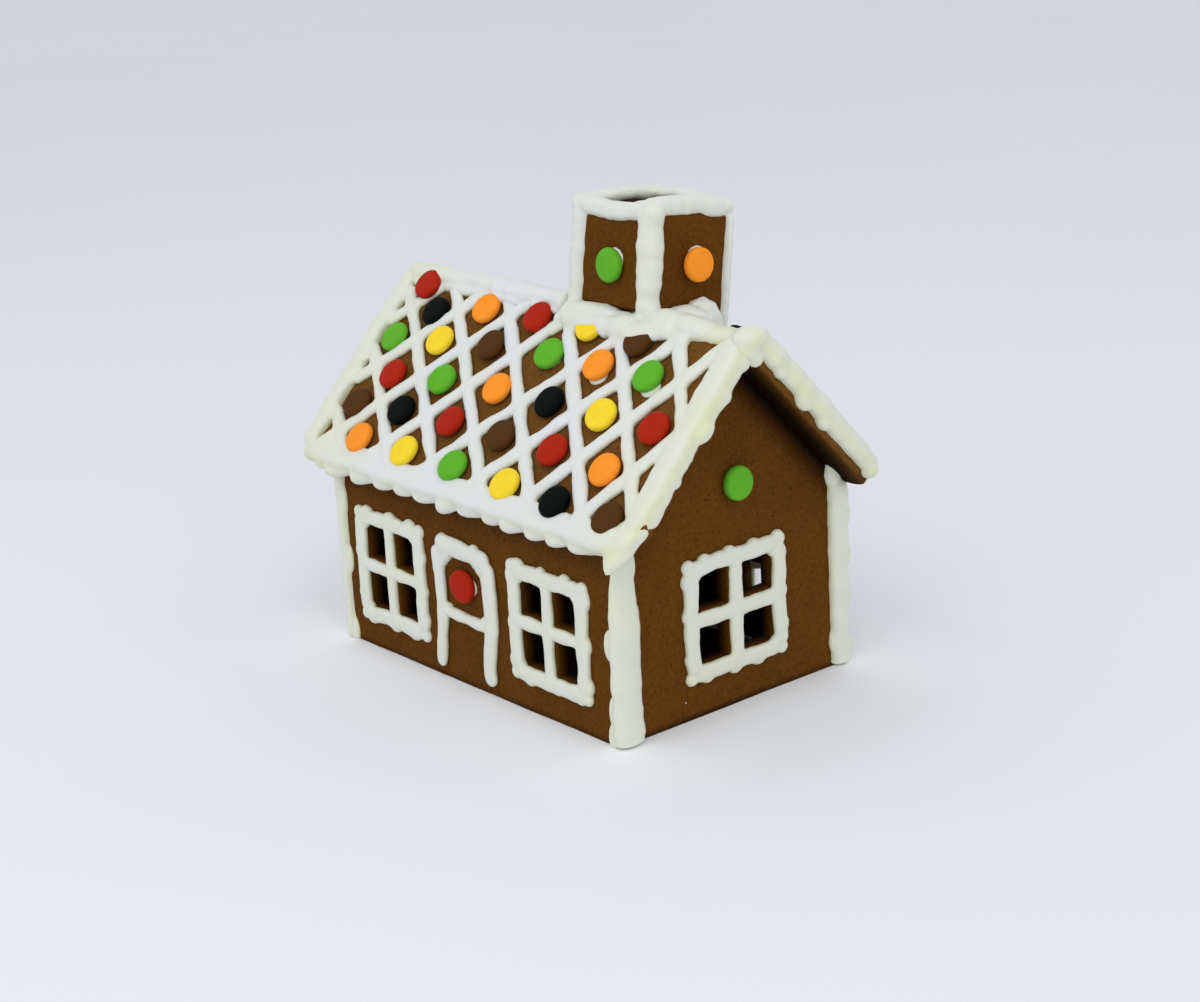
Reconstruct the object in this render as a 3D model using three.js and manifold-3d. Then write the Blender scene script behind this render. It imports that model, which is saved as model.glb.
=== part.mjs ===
// A gingerbread house: baked panels glued with white royal icing and set with flat sugar-coated candies.
// Millimetres, +Z up. The ridge runs along X, the door looks towards -Y, and the origin is the middle of
// the footprint, on the surface that the house stands on.

import * as THREE from 'three';
import { mergeVertices } from 'three/addons/utils/BufferGeometryUtils.js';
import Module from 'manifold-3d';

const wasm = await Module();
wasm.setup();

// House
const WALL_LENGTH = 170;
const HOUSE_DEPTH = 116;
const PANEL = 6; // thickness of every baked panel
const RIDGE_HEIGHT = 144;
const ROOF_LENGTH = 199.5;
const ROOF_RUN = 63; // level distance from the ridge to the eave
const ROOF_RISE = 66;
const GAP = 0.3; // between pieces that touch

// Openings: one frame of four panes each, as the middle of the frame and its full size
const LONG_WINDOWS = [
  { name: 'left', x: -51.5, y: 36, width: 34, height: 36, bar: 5.5 },
  { name: 'right', x: 48.5, y: 36, width: 34, height: 35, bar: 5.5 },
];
const GABLE_WINDOW = { x: 1, y: 38, width: 39, height: 36, bar: 6.5 };

// Door, drawn in icing on the long wall
const DOOR_LEGS = [
  [[-17.5, 57], [-17.5, 30], [-20.3, 2.5]],
  [[14.5, 57], [14, 30], [11.5, 2.5]],
];
const DOOR_HEAD = [[-19, 55.5], [0, 56.5], [17, 55.5]];
const DOOR_RAIL = [[-17, 28.5], [13, 28]];

// Chimney: a square flue of four panels that stands behind the ridge and leans back
const CHIMNEY_X = 24;
const CHIMNEY_FRONT = -2; // where its front face crosses the roof, along Y
const CHIMNEY_WIDTH = 43.5;
const CHIMNEY_DEPTH = 39.5;
const CHIMNEY_RISE = 42; // of the front face above the ridge
const CHIMNEY_LEAN = THREE.MathUtils.degToRad(7.8);
const CHIMNEY_ICING = [ // where icing belongs to the chimney and not to the slopes: X and Y ranges
  { x: [-6.5, 54.5], y: [-10.5, 43] },
  { x: [54, 82], y: [-9, 13] },
];

// Icing
const LINE_HALF_WIDTH = 2.4;
const LINE_HEIGHT = 3;
const FRAME_HALF_WIDTH = 3.6;
const RIDGE_HALF_WIDTH = 6;
// Each lattice line runs straight from the ridge to the eave: its X at the ridge and at the eave
const FALLING_LINES = [
  [-173, -73], [-140, -40], [-108, -10], [-75, 20], [-40, 49], [-2, 78], [29, 106], [63, 130],
];
const RISING_LINES = [
  [-72, -160], [-45, -131], [-16, -99], [12, -66], [49, -32], [75, 0], [97, 33], [120, 65],
];

// Candies
const CANDY_RADIUS = 6.6;
const CANDY_HEIGHT = 4;
const CANDY_LETTERS = { R: 'red', O: 'orange', Y: 'yellow', G: 'green', N: 'brown', K: 'black' };
// One row of lattice cells a line, from the ridge to the eave: each candy's colour, its X and its distance
// down the slope
const CANDY_ROWS = [
  [['R', -84, 7]],
  [['K', -71, 18], ['O', -42, 12], ['R', -10, 11], ['Y', 21, 10], ['N', 50, 12]],
  [['G', -87, 33], ['Y', -58, 30], ['N', -27, 27], ['G', 8, 25], ['O', 37, 25], ['G', 65, 25]],
  [['R', -74, 49], ['G', -43, 46], ['O', -9, 44], ['K', 23, 44], ['Y', 53, 44], ['R', 82, 44]],
  [['N', -85, 65], ['K', -56, 63], ['R', -24, 62], ['N', 8, 62], ['R', 39, 62], ['O', 70, 64]],
  [['O', -71, 79], ['Y', -40, 79], ['G', -8, 79], ['Y', 25, 80], ['K', 55, 81], ['N', 83, 80]],
];

// Worked out from the sizes above
const PITCH = Math.atan2(ROOF_RISE, ROOF_RUN);
const SLOPE = Math.hypot(ROOF_RUN, ROOF_RISE);
const UNDERSIDE = PANEL / Math.cos(PITCH); // upright thickness of the roof
const EAVE_LINE = (HOUSE_DEPTH / 2) * Math.tan(PITCH);
const WALL_HEIGHT = RIDGE_HEIGHT - EAVE_LINE - UNDERSIDE - GAP;
const GABLE_HALF = HOUSE_DEPTH / 2 - PANEL - GAP;
const GABLE_PEAK = RIDGE_HEIGHT - UNDERSIDE - 1.5 * GAP;
const GABLE_SIDE = GABLE_PEAK - GABLE_HALF * Math.tan(PITCH);
const ICING_LIMIT = ROOF_LENGTH / 2 - 3; // how far the lattice reaches sideways

const MATERIALS = {
  gingerbread: new THREE.MeshStandardMaterial({ color: '#5a371b', roughness: 0.85 }),
  icing: new THREE.MeshStandardMaterial({ color: '#e6e8e2', roughness: 0.45 }),
  red: new THREE.MeshStandardMaterial({ color: '#a82a1a', roughness: 0.35 }),
  orange: new THREE.MeshStandardMaterial({ color: '#f8912f', roughness: 0.35 }),
  yellow: new THREE.MeshStandardMaterial({ color: '#f2d83f', roughness: 0.35 }),
  green: new THREE.MeshStandardMaterial({ color: '#5fae35', roughness: 0.35 }),
  brown: new THREE.MeshStandardMaterial({ color: '#4b2d1a', roughness: 0.35 }),
  black: new THREE.MeshStandardMaterial({ color: '#11151a', roughness: 0.35 }),
};

const AXIS_X = new THREE.Vector3(1, 0, 0);
const AXIS_Y = new THREE.Vector3(0, 1, 0);
const AXIS_Z = new THREE.Vector3(0, 0, 1);

// Repeatable random numbers from 0 to 1
function seeded(seed) {
  let state = seed;
  return () => {
    state = (state * 1664525 + 1013904223) % 4294967296;
    return state / 4294967296;
  };
}

const random = seeded(12);
const spread = (amount) => (2 * random() - 1) * amount;
const count = (n) => [...Array(n).keys()];

// ---- Solids ------------------------------------------------------------------------------------------

// A closed geometry, moved by a matrix, as a solid that can be joined and cut
function solid(geometry, matrix = new THREE.Matrix4()) {
  const bare = geometry.clone().applyMatrix4(matrix);
  bare.deleteAttribute('normal');
  bare.deleteAttribute('uv');
  const merged = mergeVertices(bare, 1e-4);
  const corner = (i, k) => merged.index.getX(3 * i + k);
  const real = count(merged.index.count / 3)
    .map((i) => [corner(i, 0), corner(i, 1), corner(i, 2)])
    .filter(([a, b, c]) => a !== b && b !== c && c !== a);
  return new wasm.Manifold(new wasm.Mesh({
    numProp: 3,
    vertProperties: merged.getAttribute('position').array,
    triVerts: new Uint32Array(real.flat()),
  }));
}

function geometryOf(body) {
  const { vertProperties, triVerts } = body.getMesh();
  const geometry = new THREE.BufferGeometry();
  geometry.setAttribute('position', new THREE.BufferAttribute(vertProperties, 3));
  geometry.setIndex(new THREE.BufferAttribute(triVerts, 1));
  geometry.computeVertexNormals();
  return geometry;
}

const joined = (bodies) => bodies.reduce((sum, body) => sum.add(body));

function box(low, high, matrix) {
  const size = high.map((value, axis) => value - low[axis]);
  const geometry = new THREE.BoxGeometry(...size);
  geometry.translate(...high.map((value, axis) => (value + low[axis]) / 2));
  return solid(geometry, matrix);
}

// A closed skin over a row of rings that have the same number of points, each ring turning
// anticlockwise round the way the row runs
function loft(rings) {
  const around = rings[0].length;
  const positions = rings.flat().flatMap((point) => point.toArray());
  const index = [];
  const last = (rings.length - 1) * around;
  for (let i = 0; i < rings.length - 1; i += 1) {
    for (let k = 0; k < around; k += 1) {
      const here = i * around + k;
      const next = i * around + ((k + 1) % around);
      index.push(here, next, next + around, here, next + around, here + around);
    }
  }
  for (let k = 1; k < around - 1; k += 1) {
    index.push(0, k + 1, k, last, last + k, last + k + 1);
  }
  const geometry = new THREE.BufferGeometry();
  geometry.setAttribute('position', new THREE.Float32BufferAttribute(positions, 3));
  geometry.setIndex(index);
  return geometry;
}

// An oval ring round a centre, across the way that a run of icing goes
function oval(centre, along, up, halfAcross, halfUp, sides) {
  const across = up.clone().cross(along).normalize();
  return count(sides).map((k) => {
    const angle = (2 * Math.PI * k) / sides;
    return centre.clone()
      .addScaledVector(across, halfAcross * Math.cos(angle))
      .addScaledVector(up, halfUp * Math.sin(angle));
  });
}

// A flat-bottomed, round-topped line of icing on the plane z = 0, through the points of a route
function bead(route, halfWidth, height, rough = 0) {
  const sides = 3;
  const rings = route.map(([x, y], i) => {
    const before = route[Math.max(i - 1, 0)];
    const after = route[Math.min(i + 1, route.length - 1)];
    const along = new THREE.Vector2(after[0] - before[0], after[1] - before[1]).normalize();
    const half = halfWidth + spread(rough);
    return count(sides + 1).map((k) => {
      const angle = (Math.PI * k) / sides;
      const left = half * Math.cos(angle);
      return new THREE.Vector3(x - along.y * left, y + along.x * left, GAP + height * Math.sin(angle));
    });
  });
  return loft(rings);
}

// Points evenly spaced from one end of a line to the other, both included
function route([x0, y0], [x1, y1], steps) {
  return count(steps + 1).map((i) => [x0 + ((x1 - x0) * i) / steps, y0 + ((y1 - y0) * i) / steps]);
}

function named(name, geometry, material) {
  const mesh = new THREE.Mesh(geometry, material);
  mesh.name = name;
  return mesh;
}

// ---- Frames: the plane of each face, with X and Y along it and Z out of it --------------------------------

function frame(origin, x, y) {
  const z = x.clone().cross(y);
  return new THREE.Matrix4().makeBasis(x, y, z).setPosition(...origin);
}

const LONG_FACE = frame([0, -HOUSE_DEPTH / 2, 0], AXIS_X, AXIS_Z);
const GABLE_FACE = frame([WALL_LENGTH / 2, 0, 0], AXIS_Y, AXIS_Z);
const SLOPE_FACE = new THREE.Matrix4().makeRotationX(PITCH).setPosition(0, 0, RIDGE_HEIGHT);
const HALF_TURN = new THREE.Matrix4().makeRotationZ(Math.PI);
const CHIMNEY_PIVOT = [CHIMNEY_X, CHIMNEY_FRONT, RIDGE_HEIGHT + CHIMNEY_FRONT * Math.tan(PITCH)];
const CHIMNEY_FRAME = new THREE.Matrix4().makeRotationX(-CHIMNEY_LEAN).setPosition(...CHIMNEY_PIVOT);

// A group whose own frame is the given face, turned to the far side of the house if asked
function placed(matrix, far, ...meshes) {
  const group = new THREE.Group();
  group.applyMatrix4(far ? HALF_TURN.clone().multiply(matrix) : matrix);
  group.add(...meshes);
  return group;
}

// ---- Candies -----------------------------------------------------------------------------------------

const CANDY_PROFILE = [
  [0, CANDY_HEIGHT],
  [CANDY_RADIUS - 1.2, CANDY_HEIGHT],
  [CANDY_RADIUS, CANDY_HEIGHT / 2],
  [CANDY_RADIUS - 1.2, 0],
  [0, 0],
];

// A flat round candy with a rounded rim, lying on the plane z = 0
function candyGeometry() {
  const profile = CANDY_PROFILE.map(([r, z]) => new THREE.Vector2(r, z)).reverse();
  return new THREE.LatheGeometry(profile, 10).rotateX(Math.PI / 2);
}

function candyAt(x, y, colour) {
  const matrix = new THREE.Matrix4()
    .makeRotationFromEuler(new THREE.Euler(0, 0, random() * Math.PI))
    .setPosition(x, y, GAP);
  return { x, y, colour, matrix };
}

// The space that icing leaves free round a candy
function candyRoom(candy) {
  const reach = 2 * CANDY_HEIGHT;
  const geometry = new THREE.CylinderGeometry(CANDY_RADIUS + GAP, CANDY_RADIUS + GAP, reach, 10)
    .rotateX(Math.PI / 2)
    .translate(0, 0, reach / 2 - GAP);
  return solid(geometry, candy.matrix);
}

const roofCandies = CANDY_ROWS.flat().map(([letter, x, down]) => (
  candyAt(x, -down, CANDY_LETTERS[letter])
));
const doorCandy = candyAt(-1.8, 42.3, 'red');
const gableCandy = candyAt(2.8, 86.6, 'green');
const chimneyFrontCandy = candyAt(1.5, 19, 'green');
const chimneySideCandy = candyAt(22.5, 21, 'orange');

function candyMesh(name, candy) {
  const mesh = named(name, geometryOf(solid(candyGeometry())), MATERIALS[candy.colour]);
  mesh.applyMatrix4(candy.matrix);
  return mesh;
}

// A candy that is fused to the panel under it
function fusedCandy(candy) {
  const sunk = candy.matrix.clone().multiply(new THREE.Matrix4().makeTranslation(0, 0, -2 * GAP));
  return solid(candyGeometry(), sunk);
}

// ---- Baked panels ------------------------------------------------------------------------------------

const outline = (corners) => new THREE.Shape(corners.map(([x, y]) => new THREE.Vector2(x, y)));

// The four panes of a window, as boxes that reach through a panel
function panes({ x, y, width, height, bar }) {
  return [[-1, -1], [1, -1], [-1, 1], [1, 1]].map(([i, j]) => {
    const inner = [x + (i * bar) / 2, y + (j * bar) / 2];
    const outer = [x + (i * width) / 2, y + (j * height) / 2];
    const low = inner.map((value, axis) => Math.min(value, outer[axis]));
    const high = inner.map((value, axis) => Math.max(value, outer[axis]));
    return box([...low, -2 * PANEL], [...high, PANEL]);
  });
}

// A panel of dough behind the plane z = 0
function dough(shape, windows) {
  const slab = new THREE.ExtrudeGeometry(shape, { depth: PANEL, bevelEnabled: false });
  return solid(slab.translate(0, 0, -PANEL)).subtract(joined(windows.flatMap(panes)));
}

function longWall() {
  const half = WALL_LENGTH / 2;
  return dough(outline([[-half, 0], [half, 0], [half, WALL_HEIGHT], [-half, WALL_HEIGHT]]), LONG_WINDOWS);
}

function gable() {
  return dough(outline([
    [-GABLE_HALF, 0], [GABLE_HALF, 0], [GABLE_HALF, GABLE_SIDE], [0, GABLE_PEAK], [-GABLE_HALF, GABLE_SIDE],
  ]), [GABLE_WINDOW]);
}

// A bar of the given cross-section, upright and across the house, centred on the middle of the ridge's run
function prism(corners, length) {
  const geometry = new THREE.ExtrudeGeometry(outline(corners), { depth: length, bevelEnabled: false });
  return geometry.applyMatrix4(frame([-length / 2, 0, 0], AXIS_Y, AXIS_Z));
}

// A roof panel behind the plane z = 0, mitred at the ridge
function roofPanel() {
  const mitre = PANEL * Math.tan(PITCH);
  return solid(prism([[-SLOPE, -PANEL], [-mitre - GAP, -PANEL], [-GAP, 0], [-SLOPE, 0]], ROOF_LENGTH));
}

// ---- Cutting shapes, in the house's own frame -------------------------------------------------------------

// Everything under the top of the roof, with a gap above it
function underRoof(gap) {
  const lift = gap / Math.cos(PITCH);
  const far = 1.2 * HOUSE_DEPTH;
  const low = RIDGE_HEIGHT - far * Math.tan(PITCH);
  return prism([[-far, low + lift], [far, low + lift], [0, RIDGE_HEIGHT + lift]], 1.5 * ROOF_LENGTH);
}

// The room round the chimney that its own icing fills, made wider by a margin
function chimneyRoom(margin, matrix) {
  return joined(CHIMNEY_ICING.map(({ x, y }) => box(
    [x[0] - margin, y[0] - margin, 0],
    [x[1] + margin, y[1] + margin, 2 * RIDGE_HEIGHT],
    matrix,
  )));
}

// The strip along the ridge that the ridge icing fills, widened by a margin
function ridgeStrip(margin, from, to, matrix) {
  const half = RIDGE_HALF_WIDTH * Math.cos(PITCH) + margin;
  return box([from, -half, RIDGE_HEIGHT / 2], [to, half, 2 * RIDGE_HEIGHT], matrix);
}

// ---- Icing on a slope of the roof ------------------------------------------------------------------------

function lattice() {
  const lines = [...FALLING_LINES, ...RISING_LINES].map(([top, bottom]) => (
    solid(bead([[top, 0], [bottom, -SLOPE]], LINE_HALF_WIDTH, LINE_HEIGHT))
  ));
  const field = box([-ICING_LIMIT, 2 - SLOPE, 0], [ICING_LIMIT, -2, 2 * LINE_HEIGHT]);
  return joined(lines).intersect(field);
}

// A thick run of icing over an edge, oval across and swollen between its ends
function edgeRun(from, to, up, { across, upright, steps, rough = 0.4, swell = 0 }) {
  const start = new THREE.Vector3(...from);
  const end = new THREE.Vector3(...to);
  const along = end.clone().sub(start).normalize();
  const rings = count(steps + 1).map((i) => {
    const centre = start.clone().lerp(end, i / steps);
    const more = swell * Math.sin((Math.PI * i) / steps);
    return oval(centre, along, up, across + more + spread(rough), upright + more + spread(rough / 2), 8);
  });
  return solid(loft(rings));
}

function slopeIcing(candies, far) {
  const side = ROOF_LENGTH / 2 - 2.5;
  const low = 2.5 - SLOPE;
  const eave = far ? 0.2 : -1.2;
  const borders = [
    edgeRun([-side, low, -1], [-side, 0, -1], AXIS_Z, {
      across: 5.3, upright: 5.5, steps: 7, rough: 0.6, swell: 2.5,
    }),
    edgeRun([side, low, -1], [side, 0, -1], AXIS_Z, { across: 5.3, upright: 5, steps: 7, rough: 0.7 }),
    edgeRun([-side - 2, low, eave], [side + 2, low, eave], AXIS_Z, {
      across: 5.2, upright: 5.4, steps: 14, rough: 0.6,
    }),
  ];
  const half = ROOF_LENGTH / 2;
  const panel = box([-half - GAP, -SLOPE - GAP, -4 * PANEL], [half + GAP, 2 * PANEL, GAP]);
  const toSlope = (far ? HALF_TURN.clone().multiply(SLOPE_FACE) : SLOPE_FACE).clone().invert();
  const walls = box(
    [-WALL_LENGTH / 2 - GAP, -HOUSE_DEPTH / 2 - GAP, 0],
    [WALL_LENGTH / 2 + GAP, HOUSE_DEPTH / 2 + GAP, WALL_HEIGHT],
    toSlope,
  );
  const cut = [
    panel,
    walls,
    chimneyRoom(GAP / 2, toSlope),
    ridgeStrip(GAP / 2, -ROOF_LENGTH, ROOF_LENGTH, toSlope),
    ...candies.map(candyRoom),
  ];
  return joined([lattice(), ...borders]).subtract(joined(cut));
}

// ---- Icing on the walls -------------------------------------------------------------------------------

// A squared ring of icing round a window and a cross over its bars
function windowIcing({ x, y, width, height, bar }) {
  const half = FRAME_HALF_WIDTH;
  const right = width / 2 + half;
  const top = height / 2 + half;
  const rail = (level, end, halfWidth, steps) => bead(
    route([x - end, y + level], [x + end, y + level], steps), halfWidth, LINE_HEIGHT, 0.4,
  );
  const post = (offset, end, halfWidth, steps) => bead(
    route([x + offset, y - end], [x + offset, y + end], steps), halfWidth, LINE_HEIGHT, 0.4,
  );
  return joined([
    rail(-top, right + half, half, 2),
    rail(top, right + half, half, 2),
    post(-right, top + half / 2, half, 2),
    post(right, top + half / 2, half, 2),
    rail(0, right, bar / 2 - 0.2, 1),
    post(0, top, bar / 2 - 0.2, 1),
  ].map((line) => solid(line)));
}

function doorIcing() {
  const legs = DOOR_LEGS.map((points) => solid(bead(points, 3.7, LINE_HEIGHT, 0.4)));
  const head = solid(bead(DOOR_HEAD, 4.3, LINE_HEIGHT, 0.4));
  const rail = solid(bead(DOOR_RAIL, 2.6, LINE_HEIGHT));
  return joined([...legs, head, rail]).subtract(candyRoom(doorCandy));
}

// A column of icing down a corner of the house
function cornerIcing(sideX, sideY) {
  const foot = GAP;
  const head = WALL_HEIGHT - 3;
  const steps = 5;
  const rings = count(steps + 1).map((i) => {
    const z = foot + ((head - foot) * i) / steps;
    const centre = new THREE.Vector3(sideX * (WALL_LENGTH / 2 - 1), sideY * (HOUSE_DEPTH / 2 - 4.5), z);
    return oval(centre, AXIS_Z, AXIS_Y, 4.4 + spread(0.4), 7.2 + spread(0.6), 8);
  });
  const house = box(
    [-WALL_LENGTH / 2 - GAP, -HOUSE_DEPTH / 2 - GAP, -1],
    [WALL_LENGTH / 2 + GAP, HOUSE_DEPTH / 2 + GAP, RIDGE_HEIGHT],
  );
  return geometryOf(solid(loft(rings)).subtract(house));
}

// The candies of the front slope, and those of the back slope that the chimney leaves room for
const slopeCandies = {
  front: roofCandies,
  back: roofCandies.filter((candy) => (
    candyRoom(candy).intersect(chimneyRoom(0, HALF_TURN.clone().multiply(SLOPE_FACE).invert())).volume() < GAP
  )),
};

// The space that all of them take, in a frame that the matrix leads to from the house's
function roofCandyRoom(matrix) {
  const near = matrix.clone().multiply(SLOPE_FACE);
  const far = matrix.clone().multiply(HALF_TURN).multiply(SLOPE_FACE);
  const rooms = (candies, face) => candies.map((candy) => (
    candyRoom({ matrix: face.clone().multiply(candy.matrix) })
  ));
  return joined([...rooms(slopeCandies.front, near), ...rooms(slopeCandies.back, far)]);
}

// ---- Ridge and chimney ---------------------------------------------------------------------------------

// A saddle of icing over the ridge
function ridgeBead(from, to) {
  const steps = Math.round((to - from) / 15);
  const rings = count(steps + 1).map((i) => {
    const x = from + ((to - from) * i) / steps;
    const half = RIDGE_HALF_WIDTH + 2;
    const rise = 4 + spread(0.8);
    return count(7).map((k) => {
      const angle = (Math.PI * k) / 6;
      const side = half * Math.cos(angle);
      const y = side * Math.cos(PITCH);
      const z = RIDGE_HEIGHT - Math.abs(side) * Math.sin(PITCH) + rise * Math.sin(angle);
      return new THREE.Vector3(x, y, z);
    });
  });
  return solid(loft(rings));
}

// A panel of the chimney, cut to the roof under it, in the chimney's own frame
function chimneyPanel(low, high) {
  const roof = solid(underRoof(GAP), CHIMNEY_FRAME.clone().invert());
  return box([...low, -1.5 * CHIMNEY_DEPTH], [...high, CHIMNEY_RISE]).subtract(roof);
}

const HALF_CHIMNEY = CHIMNEY_WIDTH / 2;
const CHIMNEY_PANELS = {
  front: [[-HALF_CHIMNEY, 0], [HALF_CHIMNEY, PANEL]],
  back: [[-HALF_CHIMNEY, CHIMNEY_DEPTH - PANEL], [HALF_CHIMNEY, CHIMNEY_DEPTH]],
  left: [[-HALF_CHIMNEY, PANEL + GAP], [PANEL - HALF_CHIMNEY, CHIMNEY_DEPTH - PANEL - GAP]],
  right: [[HALF_CHIMNEY - PANEL, PANEL + GAP], [HALF_CHIMNEY, CHIMNEY_DEPTH - PANEL - GAP]],
};

// The frames of the chimney's outer faces, within its own frame
const CHIMNEY_FACES = {
  front: frame([0, 0, 0], AXIS_X, AXIS_Z),
  right: frame([HALF_CHIMNEY, 0, 0], AXIS_Y, AXIS_Z),
  back: frame([0, CHIMNEY_DEPTH, 0], AXIS_X.clone().negate(), AXIS_Z),
  left: frame([-HALF_CHIMNEY, CHIMNEY_DEPTH, 0], AXIS_Y.clone().negate(), AXIS_Z),
};

// Columns on the corners, a rim round the flue, a bank round the foot and a heap on the ridge beside it
function chimneyIcing() {
  const lefts = [-HALF_CHIMNEY + 2.3, HALF_CHIMNEY - 2.3];
  const columns = lefts.flatMap((x) => [
    edgeRun([x, 2.3, -1], [x, 2.3, CHIMNEY_RISE - 1], AXIS_Y, { across: 5.1, upright: 5.1, steps: 3 }),
    edgeRun([x, CHIMNEY_DEPTH - 1, -CHIMNEY_DEPTH], [x, CHIMNEY_DEPTH - 1, CHIMNEY_RISE - 1], AXIS_Y, {
      across: 5.1, upright: 3.4, steps: 3,
    }),
  ]);
  const middle = PANEL / 2;
  const ends = HALF_CHIMNEY - middle + 3;
  const rail = (y, z, size) => edgeRun([-ends, y, z], [ends, y, z], AXIS_Z, { ...size, steps: 4 });
  const sideRail = (x, size) => edgeRun(
    [x, 0, CHIMNEY_RISE], [x, CHIMNEY_DEPTH, CHIMNEY_RISE], AXIS_Z, { ...size, steps: 4 },
  );
  const rim = [
    rail(middle, CHIMNEY_RISE - 2, { across: 5.3, upright: 4.6 }),
    rail(CHIMNEY_DEPTH - middle, CHIMNEY_RISE, { across: 4.8, upright: 4 }),
    sideRail(middle - HALF_CHIMNEY, { across: 5, upright: 4, swell: 1.6 }),
    sideRail(HALF_CHIMNEY - middle, { across: 5.3, upright: 3.6 }),
  ];
  const slant = Math.tan(PITCH - CHIMNEY_LEAN);
  const across = HALF_CHIMNEY + 1;
  const deep = CHIMNEY_DEPTH + 1;
  const level = 1 - deep * slant;
  const sideUp = new THREE.Vector3(0, Math.sin(PITCH), Math.cos(PITCH));
  const bank = { across: 6, upright: 6, steps: 4, rough: 0.8 };
  const foot = [
    edgeRun([-across, -2, 0], [across, -2, 0], AXIS_Z, { across: 6.5, upright: 4.5, steps: 4, rough: 0.8 }),
    edgeRun([-across, 0, 2], [-across, deep, level], sideUp, bank),
    edgeRun([across, 0, 2], [across, deep, level], sideUp, bank),
    edgeRun([-across, deep, level], [across, deep, level], AXIS_Z, bank),
  ];
  const heap = solid(new THREE.SphereGeometry(1, 9, 6).scale(27, 15, 12).translate(HALF_CHIMNEY + 6, 11, 0));
  const toHouse = CHIMNEY_FRAME.clone().invert();
  const ridge = ridgeBead(-7 + GAP, ROOF_LENGTH / 2 + 3);
  const room = chimneyRoom(-GAP / 2).add(
    ridgeStrip(-GAP / 2, CHIMNEY_ICING[1].x[1] - 1, ROOF_LENGTH),
  );
  const cut = [
    solid(underRoof(GAP), toHouse),
    box(
      [-HALF_CHIMNEY - GAP, -GAP, -2 * CHIMNEY_DEPTH],
      [HALF_CHIMNEY + GAP, CHIMNEY_DEPTH + GAP, CHIMNEY_RISE + GAP],
    ),
    roofCandyRoom(toHouse),
    candyRoom({ matrix: CHIMNEY_FACES.front.clone().multiply(chimneyFrontCandy.matrix) }),
    candyRoom({ matrix: CHIMNEY_FACES.right.clone().multiply(chimneySideCandy.matrix) }),
  ];
  const pieces = [...columns, ...rim, ...foot, heap, solid(geometryOf(ridge), toHouse)];
  return joined(pieces).intersect(solid(geometryOf(room), toHouse)).subtract(joined(cut));
}

// ---- The house -------------------------------------------------------------------------------------------

const house = new THREE.Group();

for (const far of [false, true]) {
  const long = far ? 'back' : 'front';
  const end = far ? 'left' : 'right';
  const wall = far ? longWall().add(fusedCandy(doorCandy)) : longWall();
  const side = far ? gable().add(fusedCandy(gableCandy)) : gable();
  house.add(placed(LONG_FACE, far,
    named(`wall_${long}`, geometryOf(wall), MATERIALS.gingerbread),
    named(`icing_door_${long}`, geometryOf(doorIcing()), MATERIALS.icing),
    ...LONG_WINDOWS.map((window) => (
      named(`icing_window_${long}_${window.name}`, geometryOf(windowIcing(window)), MATERIALS.icing)
    ))));
  house.add(placed(GABLE_FACE, far,
    named(`gable_${end}`, geometryOf(side), MATERIALS.gingerbread),
    named(`icing_window_gable_${end}`, geometryOf(windowIcing(GABLE_WINDOW)), MATERIALS.icing)));

  const panel = far ? joined([roofPanel(), ...slopeCandies.back.map(fusedCandy)]) : roofPanel();
  house.add(placed(SLOPE_FACE, far,
    named(`roof_${long}`, geometryOf(panel), MATERIALS.gingerbread),
    named(`icing_roof_${long}`, geometryOf(slopeIcing(slopeCandies[long], far)), MATERIALS.icing)));
}

for (const [x, y] of [[-1, -1], [1, -1], [1, 1], [-1, 1]]) {
  const name = `icing_corner_${y < 0 ? 'front' : 'back'}_${x < 0 ? 'left' : 'right'}`;
  house.add(named(name, cornerIcing(x, y), MATERIALS.icing));
}

house.add(placed(SLOPE_FACE, false, ...roofCandies.map((candy, i) => (
  candyMesh(`candy_roof_${String(i + 1).padStart(2, '0')}_${candy.colour}`, candy)
))));
house.add(placed(LONG_FACE, false, candyMesh('candy_door_red', doorCandy)));
house.add(placed(GABLE_FACE, false, candyMesh('candy_gable_green', gableCandy)));

const ridge = ridgeBead(-ROOF_LENGTH / 2 - 3, CHIMNEY_ICING[0].x[0] - GAP / 2)
  .intersect(ridgeStrip(-GAP / 2, -ROOF_LENGTH, 0))
  .subtract(solid(underRoof(GAP)))
  .subtract(roofCandyRoom(new THREE.Matrix4()));
house.add(named('icing_ridge', geometryOf(ridge), MATERIALS.icing));

const chimneyParts = Object.entries(CHIMNEY_PANELS).map(([side, [low, high]]) => {
  let panel = chimneyPanel(low, high);
  if (side === 'back') {
    const matrix = CHIMNEY_FACES.back.clone().multiply(chimneyFrontCandy.matrix);
    panel = panel.add(fusedCandy({ matrix }));
  }
  if (side === 'left') {
    const matrix = CHIMNEY_FACES.left.clone().multiply(chimneySideCandy.matrix);
    panel = panel.add(fusedCandy({ matrix }));
  }
  return named(`chimney_${side}`, geometryOf(panel), MATERIALS.gingerbread);
});
house.add(placed(CHIMNEY_FRAME, false,
  ...chimneyParts,
  named('icing_chimney', geometryOf(chimneyIcing()), MATERIALS.icing),
  placed(CHIMNEY_FACES.front, false, candyMesh('candy_chimney_green', chimneyFrontCandy)),
  placed(CHIMNEY_FACES.right, false, candyMesh('candy_chimney_orange', chimneySideCandy))));

export default house;
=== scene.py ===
"""Dresses the packed gingerbread house: baked panels, piped icing, candy buttons and a plain studio."""

import math
import random

import bmesh
import bpy
from bpy.props import FloatProperty, FloatVectorProperty, PointerProperty
from mathutils import Matrix, Vector, noise
from mathutils.bvhtree import BVHTree


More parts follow.
